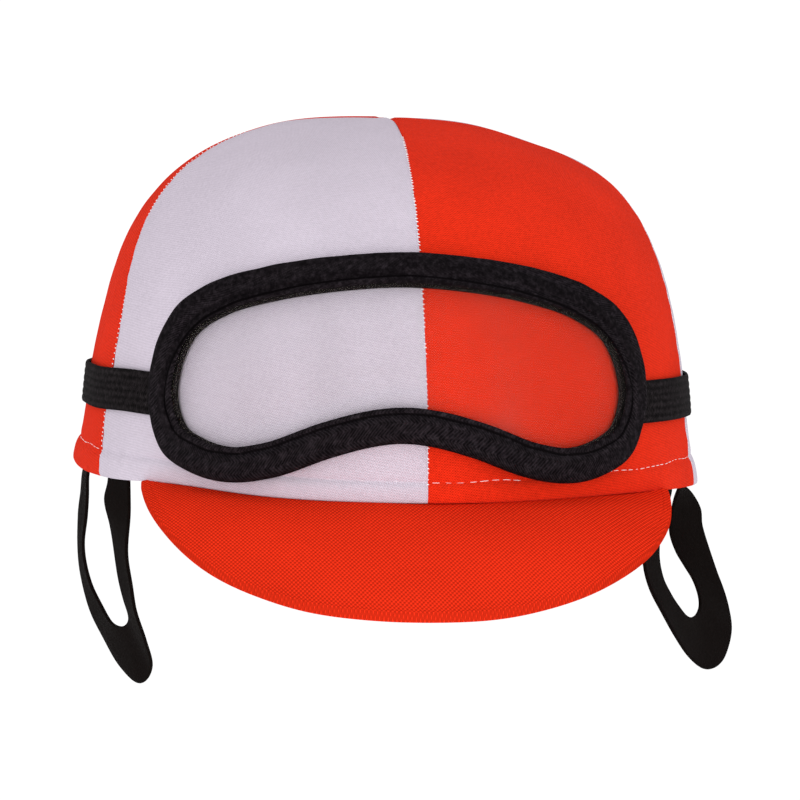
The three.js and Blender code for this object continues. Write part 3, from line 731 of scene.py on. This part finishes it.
def sewing_thread():
    base = sizes("colours").thread
    shader = Shader("sewing_thread", base, 0.6, Specular_IOR_Level=0.05)
    grain = shader.noise(THREAD_GRAIN, 1)
    shader.tint(base, grain, 0.86, 1.06)
    shader.bump(grain, THREAD_DEPTH * MM)
    return shader.material


def clear_plastic():
    """Thin clear sheet that greys what lies behind it a little, with faint upright painted
    reflections of the lamps.
    """
    base = sizes("colours").lens
    shader = Shader("lens_clear_plastic", base, 0.2, Specular_IOR_Level=0.35)
    haze = shader.noise(LENS_HAZE, 3)
    upright = shader.node("ShaderNodeMapping", {"Vector": shader.object_place(),
                                                "Scale": (1, 1, 0.12)}).outputs[0]
    # Painted reflections: faint upright bands of the lamps' light in the plastic, raising its
    # alpha.
    reflection_streaks = shader.math("POWER", shader.noise(LENS_REFLECTION_STREAKS, 1, place=upright), 4)
    alpha = shader.add(haze, 0.03, 0.025)
    alpha = shader.add(reflection_streaks, 0.16, alpha)
    shader.links.new(alpha, shader.bsdf.inputs["Alpha"])
    return shader.material


# Crown

def across_shares(width):
    """Shares across a quarter, closer together beside its two seams."""
    edge = np.array(BESIDE_SEAM) * MM / width
    middle = np.linspace(edge[-1], 1 - edge[-1], int(round(width / (CROWN_SPACING * MM))))
    return np.concatenate([edge[:-1], middle, 1 - edge[-2::-1]])


def crown_relief(azimuth, height, from_seam, seed):
    """How the cloth lies over the crown's even surface: waves, puckers and the roll at seams."""
    crown = sizes("crown")
    round_length = azimuth * crown.width / 2
    waves = soft_form(round_length, height, "crown_waves")
    creases = soft_form(round_length, height * 1.6, "crown_creases")
    from_stitch = height - hem_depth(azimuth) * STITCH_UP
    puckers = soft_form(round_length, height * 0.25, "hem_puckers")
    puckers = puckers * hump(from_stitch, PUCKER_REACH)
    gathers = soft_form(height, round_length * 0.1, "seam_gathers", seed)
    gathers = gathers * hump(from_seam, GATHER_REACH)
    roll = -crown.seam_sink * hump(from_seam, ROLL_REACH)
    return (waves + creases) * np.clip(height / (20 * MM), 0.3, 1) + puckers + gathers + roll


def crown_quarter(quarter, seed):
    crown = sizes("crown")
    samples = quarter_azimuth(quarter, np.linspace(0, 1, 200), 0)
    width = run_lengths(off_crown(samples, 0 * samples, 0 * samples))[-1]
    shares = across_shares(width)
    foot = quarter_azimuth(quarter, shares, 0)
    edge, depth = hem_edge(foot), hem_depth(foot)
    ups = np.array([up for up, _ in HEM_WAY])
    offs = np.array([off for _, off in HEM_WAY]) * MM
    rows = len(HEM_WAY) + CROWN_ROWS
    outside = int(np.argmin(ups)) + 1
    top = climb_at(foot, HEM_WAY[-1][0] * depth + edge * HEM_EDGE_SHARES[-1])
    middle = (foot[0] + foot[-1]) / 2
    side = np.array([math.copysign(1, math.sin(middle)), -math.copysign(1, math.cos(middle)), 0])

    def place():
        points = np.empty((rows, len(shares), 3))
        for row in range(rows):
            if row < len(HEM_WAY):
                height = ups[row] * depth + edge * np.interp(
                    ups[row], HEM_EDGE_UPS, HEM_EDGE_SHARES)
                azimuth = quarter_azimuth(quarter, shares, climb_at(foot, height))
                climb = climb_at(azimuth, height)
                base = crown_point(azimuth, climb)
                base[..., 2] = height
                off = offs[row] + flare_out(foot, height)
            else:
                climb = mix(top, QUARTER, (row - len(HEM_WAY) + 1) / CROWN_ROWS)
                azimuth = quarter_azimuth(quarter, shares, climb)
                base = crown_point(azimuth, climb)
                height = base[..., 2]
                off = flare_out(foot, height)
            along = run_lengths(base)
            from_seam = np.minimum(along, along[-1] - along)
            relief = crown_relief(azimuth, height, from_seam, seed)
            if row < outside:
                relief = relief * INSIDE_RELIEF
            if row >= rows - 1:
                relief = relief * 0 - crown.seam_sink
            normal = crown_normal(azimuth, climb)
            points[row] = base + normal * (off + relief)[:, None] + side * crown.seam_gap / 2
        return points

    obj = placed_grid("crown_" + quarter["name"], len(shares) - 1, rows - 1, place,
                      knit_satin(quarter["cloth"]), merge=CROWN_MERGE * MM)
    thicken(obj, crown.cloth)
    smooth(obj)
    return obj


class MakeCrown(bpy.types.Operator):
    """Makes the four quarters of the crown with their turned hem"""
    bl_idname = "jockey_cap.make_crown"
    bl_label = "Make Crown"

    def execute(self, context):
        for seed, quarter in enumerate(QUARTERS, 20):
            node = "crown_panel_" + quarter["name"]
            obj = crown_quarter(quarter, seed)
            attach(obj, BODY)
            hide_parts(node)
        return {"FINISHED"}


# Stitches

def along_line(points, kind, ragged, seed):
    """Places for stitches of one kind along a line of points, each moved a little."""
    pitch = STITCHES[kind][3] * MM
    total = run_lengths(points)
    rng = np.random.default_rng(seed)
    at = np.arange(pitch / 2, total[-1] - pitch / 3, pitch)
    at = at + rng.uniform(-ragged, ragged, len(at)) * pitch
    middles = values_at(at, total, points)
    return at, middles, values_at(at + pitch / 4, total, points) - middles, total


class MakeHemStitches(bpy.types.Operator):
    """Sews the white topstitch round the hem"""
    bl_idname = "jockey_cap.make_hem_stitches"
    bl_label = "Make Hem Stitches"

    def execute(self, context):
        crown = sizes("crown")
        for seed, quarter in enumerate(QUARTERS, 400):
            share = np.linspace(0.006, 0.994, 400)
            azimuth = quarter_azimuth(quarter, share, 0)
            height = STITCH_UP * hem_depth(azimuth) + hem_edge(azimuth) * np.interp(
                STITCH_UP, HEM_EDGE_UPS, HEM_EDGE_SHARES)
            height = height + soft_form(azimuth * crown.width / 2, 0 * azimuth, "hem_line")
            azimuth = quarter_azimuth(quarter, share, climb_at(azimuth, height))
            sunk = -HEM_STITCH_SINK[quarter["cloth"]] * MM
            relief = crown_relief(azimuth, height, np.full_like(azimuth, 1.0), 1)
            points = off_crown(azimuth, height, sunk + relief + flare_out(azimuth, height))
            kind = "hem_" + quarter["cloth"]
            at, middles, ways, total = along_line(points, kind, HEM_STITCH_RAGGED, seed)
            at_azimuth = np.interp(at, total, azimuth)
            normals = crown_normal(at_azimuth, climb_at(at_azimuth, np.interp(at, total, height)))
            obj = sewn_row("hem_stitches_" + quarter["name"], kind, middles, ways, normals)
            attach(obj, BODY)
        return {"FINISHED"}


class MakeSeamStitches(bpy.types.Operator):
    """Sews the small white stitches that show along the four seams of the crown"""
    bl_idname = "jockey_cap.make_seam_stitches"
    bl_label = "Make Seam Stitches"

    def execute(self, context):
        for seed, (seam, red_side) in enumerate(
                (("front", 1), ("left", -1), ("right", -1), ("back", 1)), 700):
            climb = np.linspace(0.02, SEAM_STITCH_END, 500)
            azimuth = seam_azimuth(seam, climb)
            foot = seam_azimuth(seam, 0)
            points = crown_point(azimuth, climb)
            heights = points[:, 2]
            normals = crown_normal(azimuth, climb)
            off = flare_out(foot, heights) - SEAM_STITCH_SINK * MM
            off = off + np.interp(heights / hem_depth(foot), [up for up, _ in HEM_WAY[15:]],
                                  [off * MM for _, off in HEM_WAY[15:]])
            sideways = unit(crown_point(azimuth + 0.01, climb) - points)
            aside = sideways * red_side * SEAM_STITCH_ASIDE * MM
            points = points + normals * off[:, None] + aside
            at, middles, ways, total = along_line(points, "seam", SEAM_STITCH_RAGGED, seed)
            normals = values_at(at, total, normals)
            across = np.cross(normals, unit(ways))
            obj = sewn_row("seam_stitches_" + seam, "seam", middles,
                           across + SEAM_STITCH_SLANT * unit(ways), normals)
            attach(obj, BODY)
        return {"FINISHED"}


# Peak

def peak_outline(across):
    """The peak's root line and its front edge at shares from one corner to the other."""
    crown, peak = sizes("crown"), sizes("peak")
    corners = np.radians(PEAK_CORNERS)
    corner_y = peak.corner_back - crown.front * mix(*np.cos(corners), across)
    gap = PEAK_GAP * MM
    azimuth = mix(*corners, across)
    root = off_crown(azimuth, 0 * azimuth, np.full_like(azimuth, -peak.tuck))
    root[..., 2] = hem_edge(azimuth) - gap
    turn = mix(-QUARTER, QUARTER, mix(0.02, 0.98, across))
    power = 2 / PEAK_SQUARENESS
    forward = np.cos(turn) ** power
    aside = peak.half_width * np.sign(turn) * np.abs(np.sin(turn)) ** power
    corner_height = mix(*hem_edge(corners), across) - gap
    corner_lift = CORNER_LIFT * MM * (2 * np.abs(across - 0.5)) ** 14
    left_corner = LEFT_CORNER * MM * (1 - forward) ** 3 * (turn < 0)
    root[..., 2] += corner_lift
    front = np.stack([
        aside + peak.aside - peak.skew * forward ** 2 - left_corner,
        mix(corner_y, -peak.reach - crown.front, forward),
        corner_height + corner_lift - peak.drop * forward ** 1.6,
    ], axis=-1)
    return root, front


class MakePeak(bpy.types.Operator):
    """Makes the stiff peak with its cover turned round the front edge"""
    bl_idname = "jockey_cap.make_peak"
    bl_label = "Make Peak"

    def execute(self, context):
        peak = sizes("peak")
        columns, top_rows, rim_rows = 150, 44, 10
        across = np.linspace(0, 1, columns + 1)
        root, front = peak_outline(across)
        half = peak.thickness / 2
        ahead = np.gradient(front, axis=0)
        outwards = unit(np.stack([ahead[:, 1], -ahead[:, 0], 0 * across], axis=-1))
        outwards *= np.sign(np.sum(outwards * (front - root), axis=-1))[:, None]
        turned_in = front - outwards * half
        length = np.linalg.norm((turned_in - root), axis=-1)
        hidden = peak.tuck + PEAK_LEVEL * MM
        tucked = np.minimum(hidden / np.maximum(length, hidden), 0.98)

        def over(share):
            slope = np.maximum(0, (share - tucked) / (1 - tucked + 1e-6))
            point = mix(root, turned_in, share)
            point[:, 2] = mix(root[:, 2], turned_in[:, 2], slope)
            point[:, 2] += peak.arch * np.sin(math.pi * slope) * np.sin(math.pi * across)
            from_edge = (1 - share) * length
            for distance, spread, height in PEAK_EDGE:
                point[:, 2] += height * MM * hump(from_edge - distance * MM, spread)
            return point

        def place():
            shares = 1 - np.linspace(0, 1, top_rows + 1) ** 1.25
            under = [over(share) - np.array([0, 0, peak.thickness]) for share in shares[::-1]]
            rim = []
            for turn in np.linspace(-QUARTER, QUARTER, rim_rows + 2)[1:-1]:
                middle = turned_in - np.array([0, 0, half])
                rise = half * math.copysign(abs(math.sin(turn)) ** 0.4, turn)
                rim.append(middle + outwards * half * math.cos(turn) ** 0.4
                           + np.array([0, 0, rise]))
            top = [over(share) for share in shares]
            points = np.stack(under + rim + top + under[:1])
            x, y = points[..., 0], points[..., 1]
            points[..., 2] += soft_form(x, y, "peak_waves")
            return points

        rows = 2 * (top_rows + 1) + rim_rows
        obj = placed_grid("peak_cover", columns, rows, place, peak_twill(), closed=True)
        recalculate(obj)
        # Painted shade for the rim: the more upright the surface, the darker the cover is painted
        # there.
        level = np.array([abs(vertex.normal.z) for vertex in obj.data.vertices])
        turned = obj.data.attributes.new("turned", "FLOAT", "POINT")
        turned.data.foreach_set("value", np.clip(1.35 - 1.5 * level, 0, 1).astype(np.float32))
        smooth(obj)
        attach(obj, BODY)
        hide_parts("peak")
        return {"FINISHED"}


# Goggles

def goggle_azimuth(along, height):
    step = math.radians(1.5) * np.sign(along)
    azimuth = np.full_like(along, math.radians(GOGGLE_AZIMUTH))
    left = np.abs(along)
    nothing = np.zeros_like(along)
    while np.any(left > 0):
        here = off_crown(azimuth, height, nothing)
        length = np.linalg.norm(off_crown(azimuth + step, height, nothing) - here, axis=-1)
        length = np.maximum(length, 1e-9)
        going = left > 0
        azimuth = np.where(going, azimuth + step * np.minimum(1, left / length), azimuth)
        left = np.where(going, left - length, left)
    return azimuth


def goggle_point(along, up, off):
    height = sizes("goggles").middle + up + along * math.tan(math.radians(GOGGLE_LEAN))
    azimuth = goggle_azimuth(along, height)
    over_hem = OVER_HEM * MM * np.clip(2 - height / (1.2 * hem_depth(azimuth)), 0, 1)
    return off_crown(azimuth, height, off + over_hem)


def smooth_line(points, closed, per_segment=40):
    """A smooth line through points, as even steps of each of its segments."""
    points = np.asarray(points, float)
    count = len(points)
    segments = count if closed else count - 1
    out = []
    for index in range(segments):
        if closed:
            a, b, c, d = (points[(index + k) % count] for k in (-1, 0, 1, 2))
        else:
            b, c = points[index], points[index + 1]
            a = points[index - 1] if index > 0 else 2 * b - c
            d = points[index + 2] if index + 2 < count else 2 * c - b
        ab, bc, cd = (max(np.linalg.norm(q - p) ** 0.5, 1e-9) for p, q in ((a, b), (b, c), (c, d)))
        first = ((b - a) / ab - (c - a) / (ab + bc) + (c - b) / bc) * bc
        last = ((c - b) / bc - (d - b) / (bc + cd) + (d - c) / cd) * bc
        t = np.arange(per_segment)[:, None] / per_segment
        out.append(b + first * t + (3 * (c - b) - 2 * first - last) * t ** 2
                   + (2 * (b - c) + first + last) * t ** 3)
    if not closed:
        out.append(points[-1:])
    return np.concatenate(out)


def band_outline(stations):
    """Even stations of the band's flat middle line with their tangents."""
    goggles = sizes("goggles")
    half = np.array([goggles.width - goggles.band, goggles.height - goggles.band]) / 2
    right = [np.array([along, up]) * half for along, _, up in BAND_LINE]
    left = [np.array([-along, up]) * half for along, up, _ in BAND_LINE[-2:0:-1]]
    line = smooth_line(right + left, closed=True)
    ring = np.concatenate([line, line[:1]])
    total = run_lengths(ring)
    at = np.linspace(0, total[-1], stations, endpoint=False)
    points = values_at(at, total, ring)
    tangents = np.roll(points, -1, axis=0) - np.roll(points, 1, axis=0)
    return points, unit(tangents), at


def inset_points(points, tangents, inset):
    climb = climb_at(np.zeros(len(points)), sizes("goggles").middle + points[:, 1])
    normal = crown_normal(np.zeros(len(points)), climb)
    upright = np.hypot(normal[:, 0], normal[:, 1])
    return np.stack([points[:, 0] + tangents[:, 1] * inset,
                     points[:, 1] - tangents[:, 0] * inset * upright], axis=-1)


class MakeGoggleFrame(bpy.types.Operator):
    """Makes the bound band of the goggles with the channel that holds the lens"""
    bl_idname = "jockey_cap.make_goggle_frame"
    bl_label = "Make Goggle Frame"

    def execute(self, context):
        goggles = sizes("goggles")
        half = goggles.band / 2
        back, face = goggles.room, goggles.room + goggles.depth
        gap = LENS_PLAY * MM
        seat_back, seat_front = goggles.seat - gap, goggles.seat + goggles.lens + gap / 2
        seat = half - goggles.tuck - gap
        stitch = half - GROOVE_INSET * MM
        section = [(inset + aside * MM, off + out * MM) for inset, aside, off, out in (
            (-half, 0.5, back, 0), (0, 0, back, 0), (half, -0.4, back, 0), (half, 0, back, 0.4),
            (half, 0, seat_back, -0.1), (half, -0.15, seat_back, 0), (seat, 0, seat_back, 0),
            (seat, 0, seat_front, 0), (half, -0.3, seat_front, 0),
            (half, -0.02, seat_front, 0.15), (half, 0, mix(seat_front, face, 0.35), 0),
            (half, -0.12, mix(seat_front, face, 0.55), 0),
            (half, -0.4, mix(seat_front, face, 0.7), 0),
            (half, -1.0, mix(seat_front, face, 0.78), 0), (stitch, 0.45, face, -0.42),
            (stitch, 0.12, face, -0.62), (stitch, -0.12, face, -0.62),
            (stitch, -0.4, face, -0.16), (stitch, -0.9, face, 0.02), (0, 0.4, face, 0.10),
            (0, -0.9, face, 0.10), (0, -2.2, face, 0.06), (0, -3.3, face, -0.06),
            (0, -4.0, face, -0.34), (0, -4.45, face, -0.9), (-half, 0.06, face, -1.7),
            (-half, 0, mix(back, face, 0.35), 0), (-half, 0.1, back, 0.4), (-half, 0.5, back, 0),
        )]
        stations = 420
        groove = run_lengths(section)[15]
        points, tangents, at = band_outline(stations)
        across = np.array([inset for inset, _ in section])

        def place():
            rows = []
            for inset, off in section:
                flat = inset_points(points, tangents, inset)
                raised = np.full(stations, off)
                if off > seat_front + 0.3 * MM:
                    raised = raised + soft_form(at, inset + 0 * at, "band_waves")
                    raised = raised + soft_form(at, 2 * inset + 0 * at, "band_lumps")
                row = goggle_point(flat[:, 0], flat[:, 1], raised)
                rows.append(np.concatenate([row, row[:1]]))
            return np.stack(rows)

        obj = placed_grid("goggle_band", stations, len(section) - 1, place,
                          black_cloth("binding", groove=groove))
        recalculate(obj)
        smooth(obj)
        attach(obj, BODY)
        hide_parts("goggle_frame")
        return {"FINISHED"}


class MakeGoggleLens(bpy.types.Operator):
    """Makes the clear lens that sits in the band's channel"""
    bl_idname = "jockey_cap.make_goggle_lens"
    bl_label = "Make Goggle Lens"

    def execute(self, context):
        goggles = sizes("goggles")
        points, tangents, _ = band_outline(600)
        outline = inset_points(points, tangents, goggles.band / 2 - goggles.tuck)
        reach = outline[:, 0].max()
        columns, rows = 90, 22

        def crossings(x):
            after = np.roll(outline, -1, axis=0)
            meets = ((outline[:, 0] - x) * (after[:, 0] - x) <= 0) & (outline[:, 0] != after[:, 0])
            near, far = outline[meets], after[meets]
            ups = mix(near[:, 1], far[:, 1], (x - near[:, 0]) / (far[:, 0] - near[:, 0]))
            return ups.min(), ups.max()

        def place():
            grid = np.empty((rows + 1, columns + 1, 3))
            for column in range(columns + 1):
                x = -reach * math.cos(math.pi * mix(0.02, 0.98, column / columns))
                low, high = crossings(x)
                ups = np.linspace(low, high, rows + 1)
                alongs = np.full(rows + 1, x)
                buckle = soft_form(alongs, ups, "lens_buckle")
                grid[:, column] = goggle_point(alongs, ups,
                                               goggles.seat + goggles.lens + buckle)
            return grid

        obj = placed_grid("goggle_lens_clear", columns, rows, place, clear_plastic())
        thicken(obj, goggles.lens)
        smooth(obj)
        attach(obj, BODY)
        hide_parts("goggle_lens")
        return {"FINISHED"}


class MakeStrap(bpy.types.Operator):
    """Makes the ribbed elastic strap that runs round the crown"""
    bl_idname = "jockey_cap.make_strap"
    bl_label = "Make Strap"

    def execute(self, context):
        goggles, strap = sizes("goggles"), sizes("strap")
        end = goggles.width / 2 - strap.sewn_in
        height = np.array([strap.height])
        start = goggle_azimuth(np.array([end]), height)[0]
        stop = goggle_azimuth(np.array([-end]), height)[0] + FULL_TURN
        columns, rows = 420, 48
        azimuth = np.linspace(start, stop, columns + 1)
        length = azimuth * sizes("crown").width / 2

        def place():
            grid = np.empty((rows + 1, columns + 1, 3))
            for row in range(rows + 1):
                share = row / rows - 0.5
                rib = 0.5 - 0.5 * math.cos(FULL_TURN * (share + 0.5) * STRAP_RIBS)
                off = (strap.room + strap.thickness
                       - STRAP_RIB_DEPTH * MM * (1 - rib ** 0.4)
                       - STRAP_EDGE_THIN * MM * (2 * abs(share)) ** 12)
                wave = soft_form(length, 0 * length, "strap_wander")
                up = strap.height + share * strap.width + wave
                lift = soft_form(length, np.full_like(length, share * strap.width), "strap_lift")
                grid[row] = off_crown(azimuth, up, off + lift)
            return grid

        obj = placed_grid("strap_elastic", columns, rows, place,
                          black_cloth("elastic", ridges=strap.width / STRAP_RIBS))
        thicken(obj, STRAP_WALL * MM)
        smooth(obj)
        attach(obj, BODY)
        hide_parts("goggle_strap")
        return {"FINISHED"}


# Ear loops

def inside_hem(side, behind, height):
    crown, loops = sizes("crown"), sizes("loops")
    length = crown.front if behind < 0 else crown.back
    azimuth = np.array([side * math.acos(min(max(-behind / length, -1), 1))])
    inwards = HEM_INSIDE * MM + loops.room + loops.thickness / 2
    flare = flare_out(azimuth, np.array([max(height, 0)]))
    return off_crown(azimuth, np.array([0.0]), flare - inwards)[0]


def ear_loop(name, side, edges, width, length, ahead):
    loops = sizes("loops")

    def edge(reach, down_column, out_column):
        points = []
        for row in edges:
            down = row[down_column]
            drop = down * (loops.tuck if down < 0 else length)
            inside = inside_hem(side, width / 2 * reach * row[0] - ahead, -drop)
            points.append(inside + np.array([row[out_column] * loops.sway, 0, -drop]))
        return smooth_line(points, closed=False, per_segment=LOOP_STEPS)

    inner, outer = edge(loops.hole, 1, 2), edge(1, 3, 4)
    rows, columns = len(inner) - 1, 16
    inner_ways, outer_ways = (unit(np.gradient(line, axis=0)) for line in (inner, outer))

    def place():
        grid = np.empty((rows + 1, columns + 1, 3))
        for column in range(columns + 1):
            share = column / columns
            line = mix(inner, outer, share)
            normals = unit(np.cross(outer - inner, mix(inner_ways, outer_ways, share)))
            ripple = soft_form(line[:, 1], line[:, 2], "loop_ripple", side)
            grid[:, column] = line + normals * (loops.thickness / 2 + ripple)[:, None]
        return grid

    obj = placed_grid(name, columns, rows, place, black_cloth("loop"))
    thicken(obj, loops.thickness)
    apply_modifier(obj, "BEVEL", width=LOOP_ROUNDING * MM, segments=2, limit_method="ANGLE",
                   angle_limit=math.radians(55))
    smooth(obj)
    return obj


class MakeEarLoops(bpy.types.Operator):
    """Makes the two flat ear loops that hang from inside the hem"""
    bl_idname = "jockey_cap.make_ear_loops"
    bl_label = "Make Ear Loops"

    def execute(self, context):
        loops = sizes("loops")
        for name, obj, hangs_from, flat, area in (
            ("left", ear_loop("loop_left", -1, LEFT_LOOP_EDGES, loops.left_width,
                              loops.left_length, loops.left_ahead),
             "crown_back_left", (0.071, 0.069), 0.0025),
            ("right", ear_loop("loop_right", 1, RIGHT_LOOP_EDGES, loops.right_width,
                               loops.right_length, loops.right_ahead),
             "crown_back_right", (0.066, 0.063), 0.0023),
        ):
            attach(obj, BODY)
            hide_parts("ear_loop_" + name)
        return {"FINISHED"}


# Stage

class MakeStage(bpy.types.Operator):
    """Makes the floor, the lights and the camera"""
    bl_idname = "jockey_cap.make_stage"
    bl_label = "Make Stage"

    def execute(self, context):
        scene = context.scene
        scene.view_settings.view_transform = "Standard"
        scene.view_settings.look = "None"

        bpy.ops.object.select_all(action="DESELECT")
        bpy.ops.mesh.primitive_plane_add(size=60, location=(0, 0, -0.60))
        floor = context.object
        floor.name = "floor"
        shader = Shader("pale_floor", (0.97, 0.97, 0.97), 0.8, Specular_IOR_Level=0.0)
        cloud = shader.noise(1.5, 2)
        shader.tint((0.97, 0.97, 0.97), cloud, 0.995, 1.005)
        floor.data.materials.append(shader.material)

        world = bpy.data.worlds.new("pale_room")
        scene.world = world
        world.use_nodes = True
        background = world.node_tree.nodes["Background"]
        background.inputs[0].default_value = (1, 1, 1, 1)
        background.inputs[1].default_value = 1.08

        lights = [
            ("key", (-0.7, -1.8, -0.12), 0.9, 14),
            ("fill", (1.1, -1.6, -0.10), 0.9, 9),
        ]
        for name, place, width, power in lights:
            bpy.ops.object.light_add(type="AREA", location=place)
            light = context.object
            light.name = name
            light.data.shape = "SQUARE"
            light.data.size = width
            light.data.energy = power
            aim = Vector((0, 0, 0.03)) - Vector(place)
            light.rotation_euler = aim.to_track_quat("-Z", "Y").to_euler()

        azimuth, elevation = math.radians(-3.5), math.radians(3.2)
        target, distance = Vector((0, 0, 0.0222)), 1.2
        back = Vector((math.sin(azimuth) * math.cos(elevation),
                       -math.cos(azimuth) * math.cos(elevation), math.sin(elevation)))
        turn = (-back).to_track_quat("-Z", "Y").to_matrix().to_4x4()
        roll = Matrix.Rotation(math.radians(1.15), 4, "Z")
        bpy.ops.object.camera_add()
        camera = context.object
        camera.name = "camera"
        camera.matrix_world = Matrix.Translation(target + back * distance) @ turn @ roll
        camera.data.lens = 179.8
        camera.data.sensor_width = 36
        camera.data.shift_x = 0.01775
        camera.data.clip_start = 0.05
        camera.data.clip_end = 100
        camera.data.dof.use_dof = False
        scene.camera = camera
        return {"FINISHED"}


PIECES = [MakeStage, MakeCrown, MakeHemStitches, MakeSeamStitches, MakePeak, MakeGoggleFrame,
          MakeGoggleLens, MakeStrap, MakeEarLoops]
GROUPS = {"crown": CrownSizes, "peak": PeakSizes, "goggles": GoggleSizes, "strap": StrapSizes,
          "loops": LoopSizes, "colours": CapColours}


class JockeyCapPanel(bpy.types.Panel):
    """Lists the cap's pieces, sizes and colours"""
    bl_idname = "VIEW3D_PT_jockey_cap"
    bl_label = "Jockey Cap"
    bl_space_type = "VIEW_3D"
    bl_region_type = "UI"
    bl_category = "Jockey Cap"

    def draw(self, context):
        for piece in PIECES:
            self.layout.operator(piece.bl_idname)
        for kind, group in GROUPS.items():
            box = self.layout.box()
            box.label(text=kind.capitalize())
            for name in group.__annotations__:
                box.prop(sizes(kind), name)


CLASSES = [*GROUPS.values(), *PIECES, JockeyCapPanel]


def register():
    for cls in CLASSES:
        bpy.utils.register_class(cls)
    for kind, group in GROUPS.items():
        setattr(bpy.types.Scene, "jockey_cap_" + kind, PointerProperty(type=group))


def unregister():
    for kind in GROUPS:
        delattr(bpy.types.Scene, "jockey_cap_" + kind)
    for cls in reversed(CLASSES):
        bpy.utils.unregister_class(cls)


def main():
    register()
    for piece in PIECES:
        group, name = piece.bl_idname.split(".")
        getattr(getattr(bpy.ops, group), name)()


if __name__ == "__main__":
    main()
